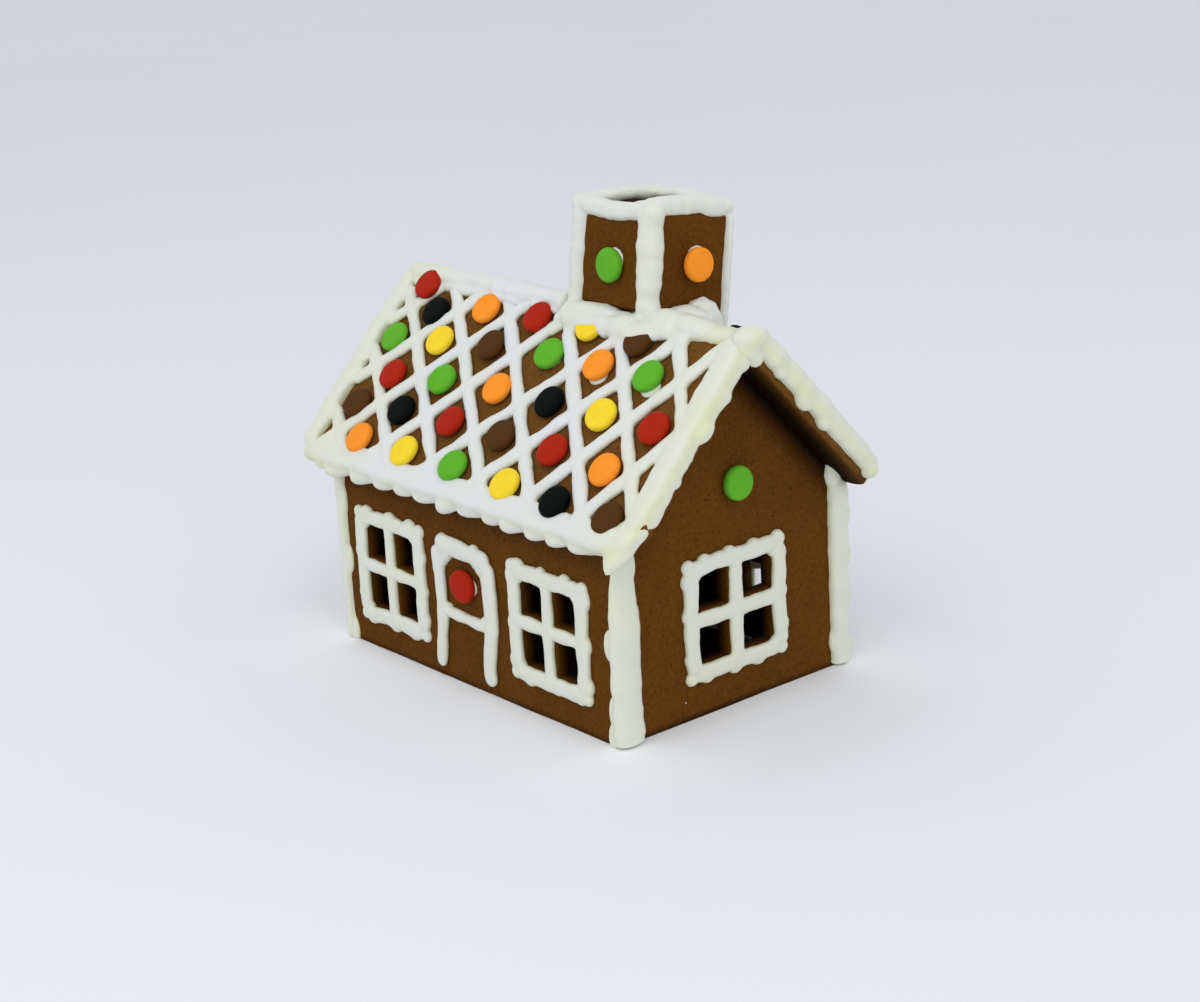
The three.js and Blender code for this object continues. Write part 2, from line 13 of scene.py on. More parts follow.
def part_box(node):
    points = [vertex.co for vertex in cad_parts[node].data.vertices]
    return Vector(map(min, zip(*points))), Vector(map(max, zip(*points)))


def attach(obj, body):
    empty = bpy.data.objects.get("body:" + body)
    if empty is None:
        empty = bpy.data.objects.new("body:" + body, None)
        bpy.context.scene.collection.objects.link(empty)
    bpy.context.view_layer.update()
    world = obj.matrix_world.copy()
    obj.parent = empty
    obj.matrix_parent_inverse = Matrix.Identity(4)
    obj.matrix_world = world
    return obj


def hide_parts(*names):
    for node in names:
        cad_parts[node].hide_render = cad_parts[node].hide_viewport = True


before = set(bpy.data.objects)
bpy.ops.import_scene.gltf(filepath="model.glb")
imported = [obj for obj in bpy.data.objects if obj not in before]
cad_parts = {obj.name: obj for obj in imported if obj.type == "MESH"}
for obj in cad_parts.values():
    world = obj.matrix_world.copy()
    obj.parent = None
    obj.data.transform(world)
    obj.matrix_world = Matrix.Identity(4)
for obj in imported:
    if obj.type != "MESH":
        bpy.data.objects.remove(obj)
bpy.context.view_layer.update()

bl_info = {
    "name": "Gingerbread House",
    "version": (1, 0, 0),
    "blender": (4, 5, 0),
    "location": "3D View > Sidebar > Gingerbread",
    "description": "Bakes, ices and decorates a small gingerbread house around its packed frame",
    "category": "Add Mesh",
}

MM = 0.001
TO_METRES = Matrix.Scale(MM, 4)
HALF_TURN = Matrix.Rotation(math.pi, 4, "Z")
X_AXIS = Vector((1, 0, 0))
Y_AXIS = Vector((0, 1, 0))
Z_AXIS = Vector((0, 0, 1))

# Windows and door, in millimetres on their face: middle, size of the opening and the bar between panes
LONG_WINDOWS = {
    "left": {"middle": (-51.5, 36.0), "size": (34.0, 36.0), "bar": 5.5},
    "right": {"middle": (48.5, 36.0), "size": (34.0, 35.0), "bar": 5.5},
}
GABLE_WINDOW = {"middle": (1.0, 38.0), "size": (39.0, 36.0), "bar": 6.5}

# Chimney: X of its middle and Y of its front in millimetres, and its lean in degrees
CHIMNEY_MIDDLE, CHIMNEY_FRONT, CHIMNEY_LEAN = 24.0, -2.0, 7.8

# Tilt of the texture space, so that no panel lies along the lattice of a noise
ASKEW = (0.5, 0.3, 0.7)

# Candies that lie higher or deeper in the icing than the rest: how far to move them on their slope
NUDGES = {"candy_roof_01_red": (0.0, -0.3, 1.1), "candy_roof_30_brown": (0.6, -1.0, -0.9)}

# Lattice lines: X at the ridge and at the eave
FALLING_LINES = [(-173, -73), (-140, -40), (-108, -10), (-75, 20), (-40, 49), (-2, 78), (29, 106), (63, 130)]
RISING_LINES = [(-72, -160), (-45, -131), (-16, -99), (12, -66), (49, -32), (75, 0), (97, 33), (120, 65)]

# Where the chimney's own icing takes over from that of the slopes: X and Y ranges
CHIMNEY_ROOM = [((-6.5, 54.5), (-10.5, 43.0)), ((54.0, 82.0), (-9.0, 13.0))]


# Settings


def length(name, description, default):
    return FloatProperty(name=name, description=description, default=default, min=0.0, unit="LENGTH", precision=4)


def colour(name, description, default):
    return FloatVectorProperty(
        name=name, description=description, default=default, min=0.0, max=1.0, size=3, subtype="COLOR"
    )


class HouseSizes(bpy.types.PropertyGroup):
    """Sizes of the baked panels."""

    wall_length: length("Wall length", "Length of the walls with the doors", 0.170)
    depth: length("Depth", "Depth of the house over both long walls", 0.116)
    panel: length("Panel", "Thickness of the baked panels", 0.006)
    ridge: length("Ridge height", "Height of the ridge above the table", 0.144)
    roof_length: length("Roof length", "Length of the roof along the ridge", 0.1995)
    roof_run: length("Roof run", "Level distance from the ridge to the eave", 0.063)
    roof_rise: length("Roof rise", "Height of the ridge above the eave", 0.066)
    chimney_width: length("Chimney width", "Width of the chimney along the ridge", 0.0435)
    chimney_depth: length("Chimney depth", "Depth of the chimney across the ridge", 0.0395)
    chimney_rise: length("Chimney rise", "Height of the chimney's front face above the ridge", 0.042)


class IcingSettings(bpy.types.PropertyGroup):
    """The piped icing."""

    line_width: length("Line width", "Width of the lattice lines on the roof", 0.0064)
    line_height: length("Line height", "Height of the lattice lines above the dough", 0.0028)
    white: colour("White", "Colour of thick icing", (0.73, 0.758, 0.77))
    cream: colour("Cream", "Colour of icing that runs out thin", (0.725, 0.745, 0.475))


class DoughSettings(bpy.types.PropertyGroup):
    """The baked dough."""

    wall: colour("Walls", "Colour of the walls and the chimney", (0.120, 0.044, 0.0055))
    roof: colour("Roof", "Colour of the roof panels", (0.155, 0.068, 0.014))
    # The pore colour also gives painted shade: darkened on the panels, and as it is on the floor inside the house
    pore_and_shade: colour("Pores", "Colour inside the pores of the crust", (0.020, 0.008, 0.003))


class CandySettings(bpy.types.PropertyGroup):
    """The candy buttons."""

    radius: length("Radius", "Radius of a candy", 0.0066)
    thickness: length("Thickness", "Thickness of a candy", 0.004)
    red: colour("Red", "Colour of the red candies", (0.40, 0.020, 0.006))
    orange: colour("Orange", "Colour of the orange candies", (1.0, 0.31, 0.026))
    yellow: colour("Yellow", "Colour of the yellow candies", (0.93, 0.68, 0.035))
    green: colour("Green", "Colour of the green candies", (0.115, 0.43, 0.026))
    brown: colour("Brown", "Colour of the brown candies", (0.083, 0.032, 0.007))
    black: colour("Black", "Colour of the black candies", (0.002, 0.004, 0.003))


class StudioSettings(bpy.types.PropertyGroup):
    """The floor and the light."""

    floor: colour("Floor", "Colour of the floor", (0.842, 0.857, 0.896))
    key: FloatProperty(name="Key light", description="Power of the key light", default=3.9, min=0.0, unit="POWER")
    fill: FloatProperty(name="Fill light", description="Power of the fill light", default=6.0, min=0.0, unit="POWER")


# Plan: the house in millimetres


def face(origin, x_axis, y_axis):
    """The frame of a face, with Z out of it."""
    matrix = Matrix((x_axis, y_axis, x_axis.cross(y_axis))).transposed().to_4x4()
    matrix.translation = origin
    return matrix


class Plan:
    """Measures in millimetres, and the frame of each face, from the settings of a scene."""

    def __init__(self, scene):
        sizes = scene.gingerbread_sizes
        for name in HouseSizes.__annotations__:
            setattr(self, name, getattr(sizes, name) / MM)
        self.pitch = math.atan2(sizes.roof_rise, sizes.roof_run)
        self.slope = math.hypot(sizes.roof_rise, sizes.roof_run) / MM
        self.stack = self.chimney_width / 2, self.chimney_depth, self.chimney_rise
        lean = math.radians(CHIMNEY_LEAN)
        self.slant = math.tan(self.pitch - lean)
        pivot = Vector((CHIMNEY_MIDDLE, CHIMNEY_FRONT, self.ridge + CHIMNEY_FRONT * math.tan(self.pitch)))
        self.chimney = Matrix.Translation(pivot) @ Matrix.Rotation(-lean, 4, "X")

    def long_face(self, far=False):
        return turned(face((0, -self.depth / 2, 0), X_AXIS, Z_AXIS), far)

    def gable_face(self, far=False):
        return turned(face((self.wall_length / 2, 0, 0), Y_AXIS, Z_AXIS), far)

    def slope_face(self, far=False):
        return turned(Matrix.Translation((0, 0, self.ridge)) @ Matrix.Rotation(self.pitch, 4, "X"), far)

    def chimney_face(self, side):
        half = self.chimney_width / 2
        faces = {
            "front": face((0, 0, 0), X_AXIS, Z_AXIS),
            "right": face((half, 0, 0), Y_AXIS, Z_AXIS),
            "back": face((0, self.chimney_depth, 0), -X_AXIS, Z_AXIS),
            "left": face((-half, self.chimney_depth, 0), -Y_AXIS, Z_AXIS),
        }
        return self.chimney @ faces[side]

    def over_roof(self, place):
        """How high a place is above the slope under it."""
        return place.z - self.ridge + abs(place.y) * math.tan(self.pitch)


def middle_of(node):
    """The middle of a node of the frame in millimetres."""
    low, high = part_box(node)
    return (low + high) / 2 / MM


def turned(matrix, far):
    return HALF_TURN @ matrix if far else matrix


# Finishes


class Finish:
    """A material under construction: its node tree, its shader and short ways to add to them."""

    def __init__(self, name, looks):
        self.material = bpy.data.materials.new(name)
        self.material.use_nodes = True
        self.tree = self.material.node_tree
        self.shader = self.tree.nodes["Principled BSDF"]
        self.feed(self.shader, looks)
        self.place = self.add("ShaderNodeTexCoord").outputs["Object"]
        askew = self.add("ShaderNodeMapping", {"Vector": self.place, "Rotation": ASKEW})
        self.askew = askew.outputs["Vector"]

    def feed(self, node, inputs):
        """Links inputs of a node to sockets, and sets others to values."""
        for key, value in inputs.items():
            if isinstance(value, bpy.types.NodeSocket):
                self.tree.links.new(value, node.inputs[key])
            else:
                node.inputs[key].default_value = value

    def add(self, kind, inputs=None, **values):
        node = self.tree.nodes.new(kind)
        for key, value in values.items():
            setattr(node, key, value)
        self.feed(node, inputs or {})
        return node

    def noise(self, size, detail=3.0, roughness=0.55):
        """Cloudy noise with features of a size in metres."""
        inputs = {"Vector": self.askew, "Scale": 1.0 / size, "Detail": detail, "Roughness": roughness}
        return self.add("ShaderNodeTexNoise", inputs).outputs["Fac"]

    def cells(self, size):
        """Cells of a size in metres: distance from the middle of each, and random channels a cell."""
        node = self.add("ShaderNodeTexVoronoi", {"Vector": self.askew, "Scale": 1.0 / size})
        chance = self.add("ShaderNodeSeparateColor", {"Color": node.outputs["Color"]})
        return node.outputs["Distance"], chance.outputs

    def spread(self, value, low, high, to_low=0.0, to_high=1.0):
        inputs = {"Value": value, "From Min": low, "From Max": high, "To Min": to_low, "To Max": to_high}
        return self.add("ShaderNodeMapRange", inputs, clamp=True).outputs["Result"]

    def math(self, operation, *values):
        node = self.add("ShaderNodeMath", dict(enumerate(values)), operation=operation, use_clamp=True)
        return node.outputs["Value"]

    def mix(self, factor, *tones, blend="MIX"):
        first, second = (t if isinstance(t, bpy.types.NodeSocket) else (*t, 1.0) for t in tones)
        inputs = {"Factor": factor, 6: first, 7: second}
        return self.add("ShaderNodeMix", inputs, data_type="RGBA", blend_type=blend).outputs[2]

    def colour(self, value):
        self.feed(self.shader, {"Base Color": value})

    def relief(self, height, depth, strength):
        """Surface relief of a depth in metres."""
        node = self.add("ShaderNodeBump", {"Strength": strength, "Distance": depth, "Height": height})
        self.feed(self.shader, {"Normal": node.outputs["Normal"]})


def shade(value, factor):
    return tuple(min(1.0, channel * factor) for channel in value)


def dough_finish(scene, name, base):
    """Baked dough: mottled, pricked with fine dark pores and a few pale crumbs, and darkened by painted shade where its
    panel's attribute says so.
    """
    pore_and_shade = tuple(scene.gingerbread_dough.pore_and_shade)
    finish = Finish(name, {"Roughness": 0.72, "Specular IOR Level": 0.03})
    mottled = finish.mix(finish.spread(finish.noise(0.030), 0.35, 0.68), shade(base, 0.91), shade(base, 1.09))
    grain = finish.spread(finish.noise(0.0016, 2.0), 0.3, 0.7)
    grained = finish.mix(grain, (0.80, 0.78, 0.74), (1.15, 1.15, 1.15))
    tone = finish.mix(1.0, mottled, grained, blend="MULTIPLY")
    distance, chance = finish.cells(0.0025)
    near = finish.spread(distance, 0.08, 0.22, 1.0, 0.0)
    open_pore = finish.math("MULTIPLY", near, finish.spread(chance["Red"], 0.42, 0.54))
    tone = finish.mix(finish.math("MULTIPLY", open_pore, 0.78), tone, pore_and_shade)
    distance, chance = finish.cells(0.017)
    near = finish.spread(distance, 0.018, 0.026, 1.0, 0.0)
    crumb = finish.math("MULTIPLY", near, finish.spread(chance["Green"], 0.72, 0.74))
    tone = finish.mix(crumb, tone, (0.55, 0.47, 0.34))
    # Painted shade: the attribute blends a darkened pore colour in where shade falls on the panel
    crust = finish.add("ShaderNodeAttribute", attribute_name="dark_crust").outputs["Fac"]
    finish.colour(finish.mix(crust, tone, shade(pore_and_shade, 0.25)))
    rough = finish.noise(0.0009, 4.0, 0.7)
    finish.relief(finish.math("SUBTRACT", rough, finish.math("MULTIPLY", open_pore, 0.9)), 0.00022, 0.7)
    return finish.material


def icing_finish(scene, name):
    """Set royal icing: cool white where it is thick, cream where it runs out thin, with a soft sheen."""
    settings = scene.gingerbread_icing
    finish = Finish(name, {
        "Roughness": 0.42, "Specular IOR Level": 0.38, "Subsurface Weight": 0.18,
        "Subsurface Radius": (1.0, 0.85, 0.55), "Subsurface Scale": 0.0022,
    })
    thin = finish.add("ShaderNodeAttribute", attribute_name="thinness").outputs["Fac"]
    patch = finish.spread(finish.noise(0.022, 2.0), 0.35, 0.72)
    factor = finish.math("ADD", finish.math("MULTIPLY", thin, 0.85), finish.math("MULTIPLY", patch, 0.26))
    finish.colour(finish.mix(factor, tuple(settings.white), tuple(settings.cream)))
    finish.relief(finish.noise(0.0024, 3.0), 0.00012, 0.5)
    return finish.material


def candy_finish(name, base):
    """A sugar shell: even colour with faint cloudiness, softly polished."""
    finish = Finish(name, {"Roughness": 0.4, "Specular IOR Level": 0.03})
    cloud = finish.spread(finish.noise(0.0035, 2.0), 0.3, 0.7)
    finish.colour(finish.mix(cloud, shade(base, 0.96), shade(base, 1.04)))
    finish.relief(finish.noise(0.0009, 2.0), 0.00003, 0.3)
    return finish.material


def finish_named(scene, slot):
    """The finish for a material slot of the record, made on first use."""
    name = slot + "_finish"
    made = bpy.data.materials.get(name)
    if made:
        return made
    if slot == "icing":
        return icing_finish(scene, name)
    if slot.startswith("candy_"):
        return candy_finish(name, tuple(getattr(scene.gingerbread_candy, slot.removeprefix("candy_"))))
    dough = scene.gingerbread_dough
    return dough_finish(scene, name, tuple(dough.roof if slot == "gingerbread_roof" else dough.wall))


# Pieces


def mesh_of(bm, name):
    """The mesh of a bmesh, which is freed."""
    mesh = bpy.data.meshes.new(name)
    bm.to_mesh(mesh)
    bm.free()
    return mesh


def shown(context, name, mesh):
    piece = bpy.data.objects.new(name, mesh)
    context.scene.collection.objects.link(piece)
    return piece


def tied(context, piece, slot, *nodes):
    """Gives a piece its finish and ties it to the frame."""
    piece.data.materials.clear()
    piece.data.materials.append(finish_named(context.scene, slot))
    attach(piece, "root")
    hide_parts(*nodes)
    return piece


def finished(context, name, bm, slot, *nodes):
    """Makes the object of a piece whose mesh is in metres, and ties it to the frame."""
    piece = shown(context, name, mesh_of(bm, name))
    piece.data.shade_smooth()
    return tied(context, piece, slot, *nodes)


def joined(bm, part, matrix=None):
    """Moves the geometry of a small bmesh into a large one, into a frame if one is given."""
    if matrix is not None:
        bmesh.ops.transform(part, matrix=matrix, verts=part.verts)
    mesh = mesh_of(part, "part")
    bm.from_mesh(mesh)
    bpy.data.meshes.remove(mesh)


def noted(piece, name, values):
    """Keeps a value for each point of a piece, which its finish reads."""
    piece.data.attributes.new(name, "FLOAT", "POINT").data.foreach_set("value", values)


def ramp(value, start, width):
    """Rises from 0 at the start to 1 a width further on."""
    return min(1.0, max(0.0, (value - start) / width))


# Baked panels


def ruled(breaks, cell):
    """Positions from the first break to the last that meet every break, about a cell apart."""
    breaks = sorted(set(breaks))
    marks = [breaks[0]]
    for low, high in zip(breaks, breaks[1:]):
        steps = max(1, round((high - low) / cell))
        marks += [low + (high - low) * k / steps for k in range(1, steps + 1)]
    return marks


def panes(window):
    """The four panes of a window, as (low x, high x, low y, high y)."""
    (x, y), (width, height), bar = window["middle"], window["size"], window["bar"]
    across = [(x - width / 2, x - bar / 2), (x + bar / 2, x + width / 2)]
    upright = [(y - height / 2, y - bar / 2), (y + bar / 2, y + height / 2)]
    return [(*a, *b) for a in across for b in upright]


def rolled_dough(x_range, y_range, thickness, holes=(), cell=3.0):
    """A slab of dough on the plane z = 0, reaching back from it, with square holes."""
    bm = bmesh.new()
    xs = ruled([*x_range, *[x for hole in holes for x in hole[:2]]], cell)
    ys = ruled([*y_range, *[y for hole in holes for y in hole[2:]]], cell)
    bmesh.ops.create_grid(bm, x_segments=len(xs) - 1, y_segments=len(ys) - 1, size=0.5)
    for vert in bm.verts:
        column = round((vert.co.x + 0.5) * (len(xs) - 1))
        row = round((vert.co.y + 0.5) * (len(ys) - 1))
        vert.co = (xs[column], ys[row], 0.0)
    inside = [
        f for f in bm.faces
        if any(a < f.calc_center_median().x < b and c < f.calc_center_median().y < d for a, b, c, d in holes)
    ]
    bmesh.ops.delete(bm, geom=inside, context="FACES")
    bmesh.ops.recalc_face_normals(bm, faces=bm.faces)
    pulled = bmesh.ops.extrude_face_region(bm, geom=bm.faces[:])["geom"]
    verts = [g for g in pulled if isinstance(g, bmesh.types.BMVert)]
    bmesh.ops.translate(bm, verts=verts, vec=(0, 0, -thickness))
    bmesh.ops.recalc_face_normals(bm, faces=bm.faces)
    return bm


def trimmed(bm, point, normal):
    """Cuts a slab along a plane and closes the cut."""
    cut = bmesh.ops.bisect_plane(
        bm, geom=bm.verts[:] + bm.edges[:] + bm.faces[:], plane_co=point, plane_no=normal, clear_outer=True
    )["geom_cut"]
    edges = [g for g in cut if isinstance(g, bmesh.types.BMEdge)]
    bmesh.ops.holes_fill(bm, edges=edges, sides=0)
    bmesh.ops.recalc_face_normals(bm, faces=bm.faces)


def baked(bm, rounding, unevenness, seed):
    """Rounds the edges of a slab as baking does, and makes its faces uneven."""
    sharp = [e for e in bm.edges if e.is_manifold and e.calc_face_angle() > math.radians(50)]
    bmesh.ops.bevel(
        bm, geom=sharp, offset=rounding, segments=3, profile=0.5, affect="EDGES", material=-1, clamp_overlap=True
    )
    shift = Vector((seed, 2 * seed, 3 * seed))
    for vert in bm.verts:
        broad = noise.noise_vector(vert.co / 26 + shift)
        fine = noise.noise_vector(vert.co / 5 + shift)
        vert.co += broad * unevenness + fine * unevenness * 0.3


def rounded_corner(bm, x, y, radius):
    """Rounds a corner of a slab as seen from above."""
    middle = Vector((x - math.copysign(radius, x), y - math.copysign(radius, y)))
    for vert in bm.verts:
        away = vert.co.xy - middle
        if away.x * x > 0 and away.y * y > 0:
            reach = max(abs(away.x), abs(away.y))
            vert.co.xy = middle + away.normalized() * reach


def panel_piece(context, bm, matrix, name, slot, darkness):
    """The object of a panel. Darkness gives for each point on the panel how deep the painted shade is there."""
    values = [darkness(vert.co) for vert in bm.verts]
    bmesh.ops.transform(bm, matrix=TO_METRES @ matrix, verts=bm.verts)
    noted(finished(context, name, bm, slot, name), "dark_crust", values)


def wall_painted_shade(plan, matrix, eave=1.0):
    """Painted shade on walls: darker inside the house, along the base and, by the measure given, under the roof."""
    slopes = [plan.slope_face(far).inverted() @ matrix for far in (False, True)]

    def darkness(place):
        gap = min(-plan.panel - (slope @ place).z for slope in slopes)
        sheltered = max(0.0, 1.0 - max(0.0, gap - 1.5) / 9.5) ** 1.1
        base = max(0.0, 1.0 - place.y / 1.1)
        # Painted shade inside and under the roof, and a painted contact shadow along the base
        return max(0.9 * ramp(-place.z, 0.8, 4.0), 0.95 * eave * sheltered, 0.8 * base)

    return darkness


def lift_base(bm):
    """Keeps the lower edge of a panel on the table."""
    for vert in bm.verts:
        vert.co.y = max(vert.co.y, 0.02)


# Piping


def smooth_route(points, step):
    """A smooth path through (x, y, z) or (x, y, z, fullness) points, about a step apart."""
    knots = []
    for point in points:
        knot = Vector((*point, 1.0)) if len(point) == 3 else Vector(point)
        if not knots or (knot.xyz - knots[-1].xyz).length > 0.5:
            knots.append(knot)
    path = []
    for i in range(len(knots) - 1):
        before, here = knots[max(i - 1, 0)], knots[i]
        there, after = knots[i + 1], knots[min(i + 2, len(knots) - 1)]
        count = max(1, round((there.xyz - here.xyz).length / step))
        for k in range(count):
            t = k / count
            path.append(0.5 * (
                2 * here + (there - before) * t + (2 * before - 5 * here + 4 * there - after) * t ** 2
                + (3 * here - before - 3 * there + after) * t ** 3
            ))
    return path + [knots[-1]]


def swept(stations, sides, roundness):
    """Pulls a ring through the stations, each a matrix that places a unit ring, and closes both ends.
    A roundness of 1 gives an oval, and less squares it off."""
    bm = bmesh.new()
    ring = bmesh.ops.create_circle(bm, cap_ends=False, segments=sides, radius=1.0)["verts"]
    for vert in ring:
        vert.co = [math.copysign(abs(value) ** roundness, value) for value in vert.co]
    bmesh.ops.transform(bm, matrix=stations[0], verts=ring)
    edges = list({edge for vert in ring for edge in vert.link_edges})
    first = edges
    for before, after in zip(stations, stations[1:]):
        pulled = bmesh.ops.extrude_edge_only(bm, edges=edges)["geom"]
        verts = {g for g in pulled if isinstance(g, bmesh.types.BMVert)}
        bmesh.ops.transform(bm, matrix=after @ before.inverted(), verts=list(verts))
        edges = list({e for v in verts for e in v.link_edges if e.other_vert(v) in verts})
    for end in (first, edges):
        bmesh.ops.contextual_create(bm, geom=end)
    bmesh.ops.recalc_face_normals(bm, faces=bm.faces)
    return bm


def pipe(bm, route, across, upright, rng, up=Z_AXIS, wobble=0.10, wander=0.25, roundness=1.0, blunt=False):
    """Pipes a rope of icing along a route, oval across, unsteady in width and rounded at its ends."""
    path = smooth_route(route, 1.7)
    phase = rng.uniform(0, 200)
    run = [0.0]
    for here, there in zip(path, path[1:]):
        run.append(run[-1] + (there.xyz - here.xyz).length)
    stations = []
    for i, point in enumerate(path):
        along = (path[min(i + 1, len(path) - 1)].xyz - path[max(i - 1, 0)].xyz).normalized()
        side = up.cross(along).normalized()
        top = along.cross(side)
        swell = 1 + wobble * (noise.noise((phase, run[i] / 6.5, 0)) + 0.7 * noise.noise((phase, run[i] / 2.8, 5)))
        drift = side * noise.noise((phase, run[i] / 9.0, 9)) + top * noise.noise((phase, run[i] / 8.0, 20)) * 0.4
        reach = min(run[i], run[-1] - run[i]) / across
        closing = math.sqrt(max(0.03, 1 - (1 - reach) ** 2)) if reach < 1 and not blunt else 1.0
        wide = across * point.w * swell * closing
        high = upright * (0.5 + 0.5 * point.w) * (0.6 + 0.4 * swell) * closing
        station = Matrix((side * wide, top * high, along)).transposed().to_4x4()
        station.translation = point.xyz + drift * wander
        stations.append(station)
    joined(bm, swept(stations, 14, roundness))


def line(bm, route, width, height, rng, **options):
    """Pipes a line on the plane z = 0 through (x, y) or (x, y, fullness) points."""
    sink = 0.8
    level = (height - sink) / 2
    points = [(p[0], p[1], level, *p[2:]) for p in route]
    pipe(bm, points, width / 2, (height + sink) / 2, rng, **options)


def dab(bm, centre, size, turn=0.0):
    """A rounded dab of icing of three half sizes."""
    matrix = Matrix.Translation(centre) @ Matrix.Rotation(turn, 4, "Z") @ Matrix.Diagonal((*size, 1.0))
    bmesh.ops.create_icosphere(bm, subdivisions=2, radius=1.0, matrix=matrix)


def lobes(bm, start, end, outward, size, spacing, rng, level=0.5, tall=None):
    """Broad dabs along the edge of a line that scallop it, pushed outward by an uneven amount."""
    start, end, outward = Vector(start), Vector(end), Vector(outward)
    total = (end - start).length
    turn = math.atan2(end.y - start.y, end.x - start.x)
    at = rng.uniform(0.2, 0.6) * spacing
    while at < total:
        place = start.lerp(end, at / total) + outward * rng.uniform(-1.0, 1.0)
        half = size * rng.uniform(0.9, 1.1)
        dab(bm, (place.x, place.y, level), (half * rng.uniform(1.0, 1.35), half, tall or size * 0.62), turn)
        at += spacing * rng.uniform(0.75, 1.3)


def near_chimney(place, margin):
    """True where the chimney's icing takes over, in rooms made wider by a margin."""
    return any(
        a - margin < place.x < b + margin and c - margin < place.y < d + margin for (a, b), (c, d) in CHIMNEY_ROOM
    )


def settled(context, name, bm, matrix, seed, grain=0.5, passes=6, lumps=0.10):
    """Runs ropes and dabs together into one body, as soft icing does before it sets. The bmesh is in
    millimetres in the frame of the matrix. Returns the object, with its mesh in metres."""
    bmesh.ops.transform(bm, matrix=matrix, verts=bm.verts)
    bmesh.ops.triangulate(bm, faces=bm.faces)
    bmesh.ops.dissolve_degenerate(bm, edges=bm.edges, dist=0.001)
    mesh = mesh_of(bm, name)
    piece = shown(context, name, mesh)
    melt = piece.modifiers.new("Run together", "REMESH")
    melt.mode = "VOXEL"
    melt.voxel_size = grain
    ease = piece.modifiers.new("Settle", "SMOOTH")
    ease.factor = 0.5
    ease.iterations = passes
    shape = bpy.data.meshes.new_from_object(piece.evaluated_get(context.evaluated_depsgraph_get()))
    piece.modifiers.clear()
    piece.data = shape
    bpy.data.meshes.remove(mesh)
    shape.name = name
    shape.transform(TO_METRES)
    shift = Vector((seed, -seed, 2 * seed))
    normals = [vert.normal.copy() for vert in shape.vertices]
    for vert, normal in zip(shape.vertices, normals):
        lump = noise.noise(vert.co * 110 + shift) + 0.5 * noise.noise(vert.co * 300 + shift)
        vert.co += normal * lump * lumps * MM
    shape.shade_smooth()
    return piece


def iced(context, name, bm, matrix, seed, height, full=2.4, least=0.0, **melting):
    """Makes a piece of icing, and notes on each point how thin the icing is there, from its height above the
    dough. What hangs below the dough is thicker again, and towards the gables all was piped thinner."""
    piece = settled(context, name, bm, matrix, seed, **melting)
    values = []
    for vert in piece.data.vertices:
        place = vert.co / MM
        high = height(place)
        thin = max(0.0, 1.0 - high / full) if high > 0 else max(0.3, 0.8 + high / 6.0)
        values.append(min(1.0, thin * 0.5 + max(least, 0.44 * ramp(abs(place.x), 50, 45))))
    noted(piece, "thinness", values)
    return tied(context, piece, "icing", name)


def height_over(matrix):
    """Measures heights over the plane z = 0 of a frame."""
    inverse = matrix.inverted()
    return lambda place: (inverse @ place).z


# Operators


class GINGERBREAD_OT_walls(bpy.types.Operator):
    """Bake the two long walls, each with two windows"""

    bl_idname = "gingerbread.walls"
    bl_label = "Long walls"

    def execute(self, context):
        plan = Plan(context.scene)
        half = plan.wall_length / 2
        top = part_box("wall_front")[1].z / MM
        holes = [pane for window in LONG_WINDOWS.values() for pane in panes(window)]
        for seed, side in enumerate(("front", "back"), 1):
            bm = rolled_dough((-half, half), (0.0, top), plan.panel, holes)
            baked(bm, 0.9, 0.35, seed)
            lift_base(bm)
            matrix = plan.long_face(side == "back")
            panel_piece(context, bm, matrix, "wall_" + side, "gingerbread", wall_painted_shade(plan, matrix, 0.35))
        return {"FINISHED"}


class GINGERBREAD_OT_gables(bpy.types.Operator):
    """Bake the two gables, each with one window"""

    bl_idname = "gingerbread.gables"
    bl_label = "Gables"

    def execute(self, context):
        plan = Plan(context.scene)
        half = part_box("gable_right")[1].y / MM
        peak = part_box("gable_right")[1].z / MM
        normal = Vector((math.sin(plan.pitch), math.cos(plan.pitch), 0))
        for seed, side in enumerate(("right", "left"), 4):
            bm = rolled_dough((-half, half), (0.0, peak), plan.panel, panes(GABLE_WINDOW))
            trimmed(bm, (0, peak, 0), normal)
            trimmed(bm, (0, peak, 0), Vector((-normal.x, normal.y, 0)))
            baked(bm, 0.8, 0.35, seed)
            lift_base(bm)
            matrix = plan.gable_face(side == "left")
            panel_piece(context, bm, matrix, "gable_" + side, "gingerbread", wall_painted_shade(plan, matrix))
        return {"FINISHED"}


class GINGERBREAD_OT_roof(bpy.types.Operator):
    """Bake the two roof panels, mitred along the ridge"""

    bl_idname = "gingerbread.roof"
    bl_label = "Roof panels"

    def execute(self, context):
        plan = Plan(context.scene)
        half = plan.roof_length / 2
        for seed, side in enumerate(("front", "back"), 7):
            bm = rolled_dough((-half, half), (-plan.slope, -0.3), plan.panel)
            for vert in bm.verts:
                if vert.co.y > -1.0:
                    vert.co.y += vert.co.z * math.tan(plan.pitch)
            for x, radius in ((half, 12.0), (-half, 6.0)):
                rounded_corner(bm, x, -plan.slope, radius)
            baked(bm, 1.0, 0.4, seed)

            # Painted shade on the underside of the panel, fading out towards its ends
            def underside_shade(place):
                return 0.96 * ramp(-place.z, 4.6, 1.2) * ramp(half - abs(place.x), 0, 9.0) ** 0.5

            panel_piece(context, bm, plan.slope_face(side == "back"), "roof_" + side, "gingerbread_roof", underside_shade)
        return {"FINISHED"}


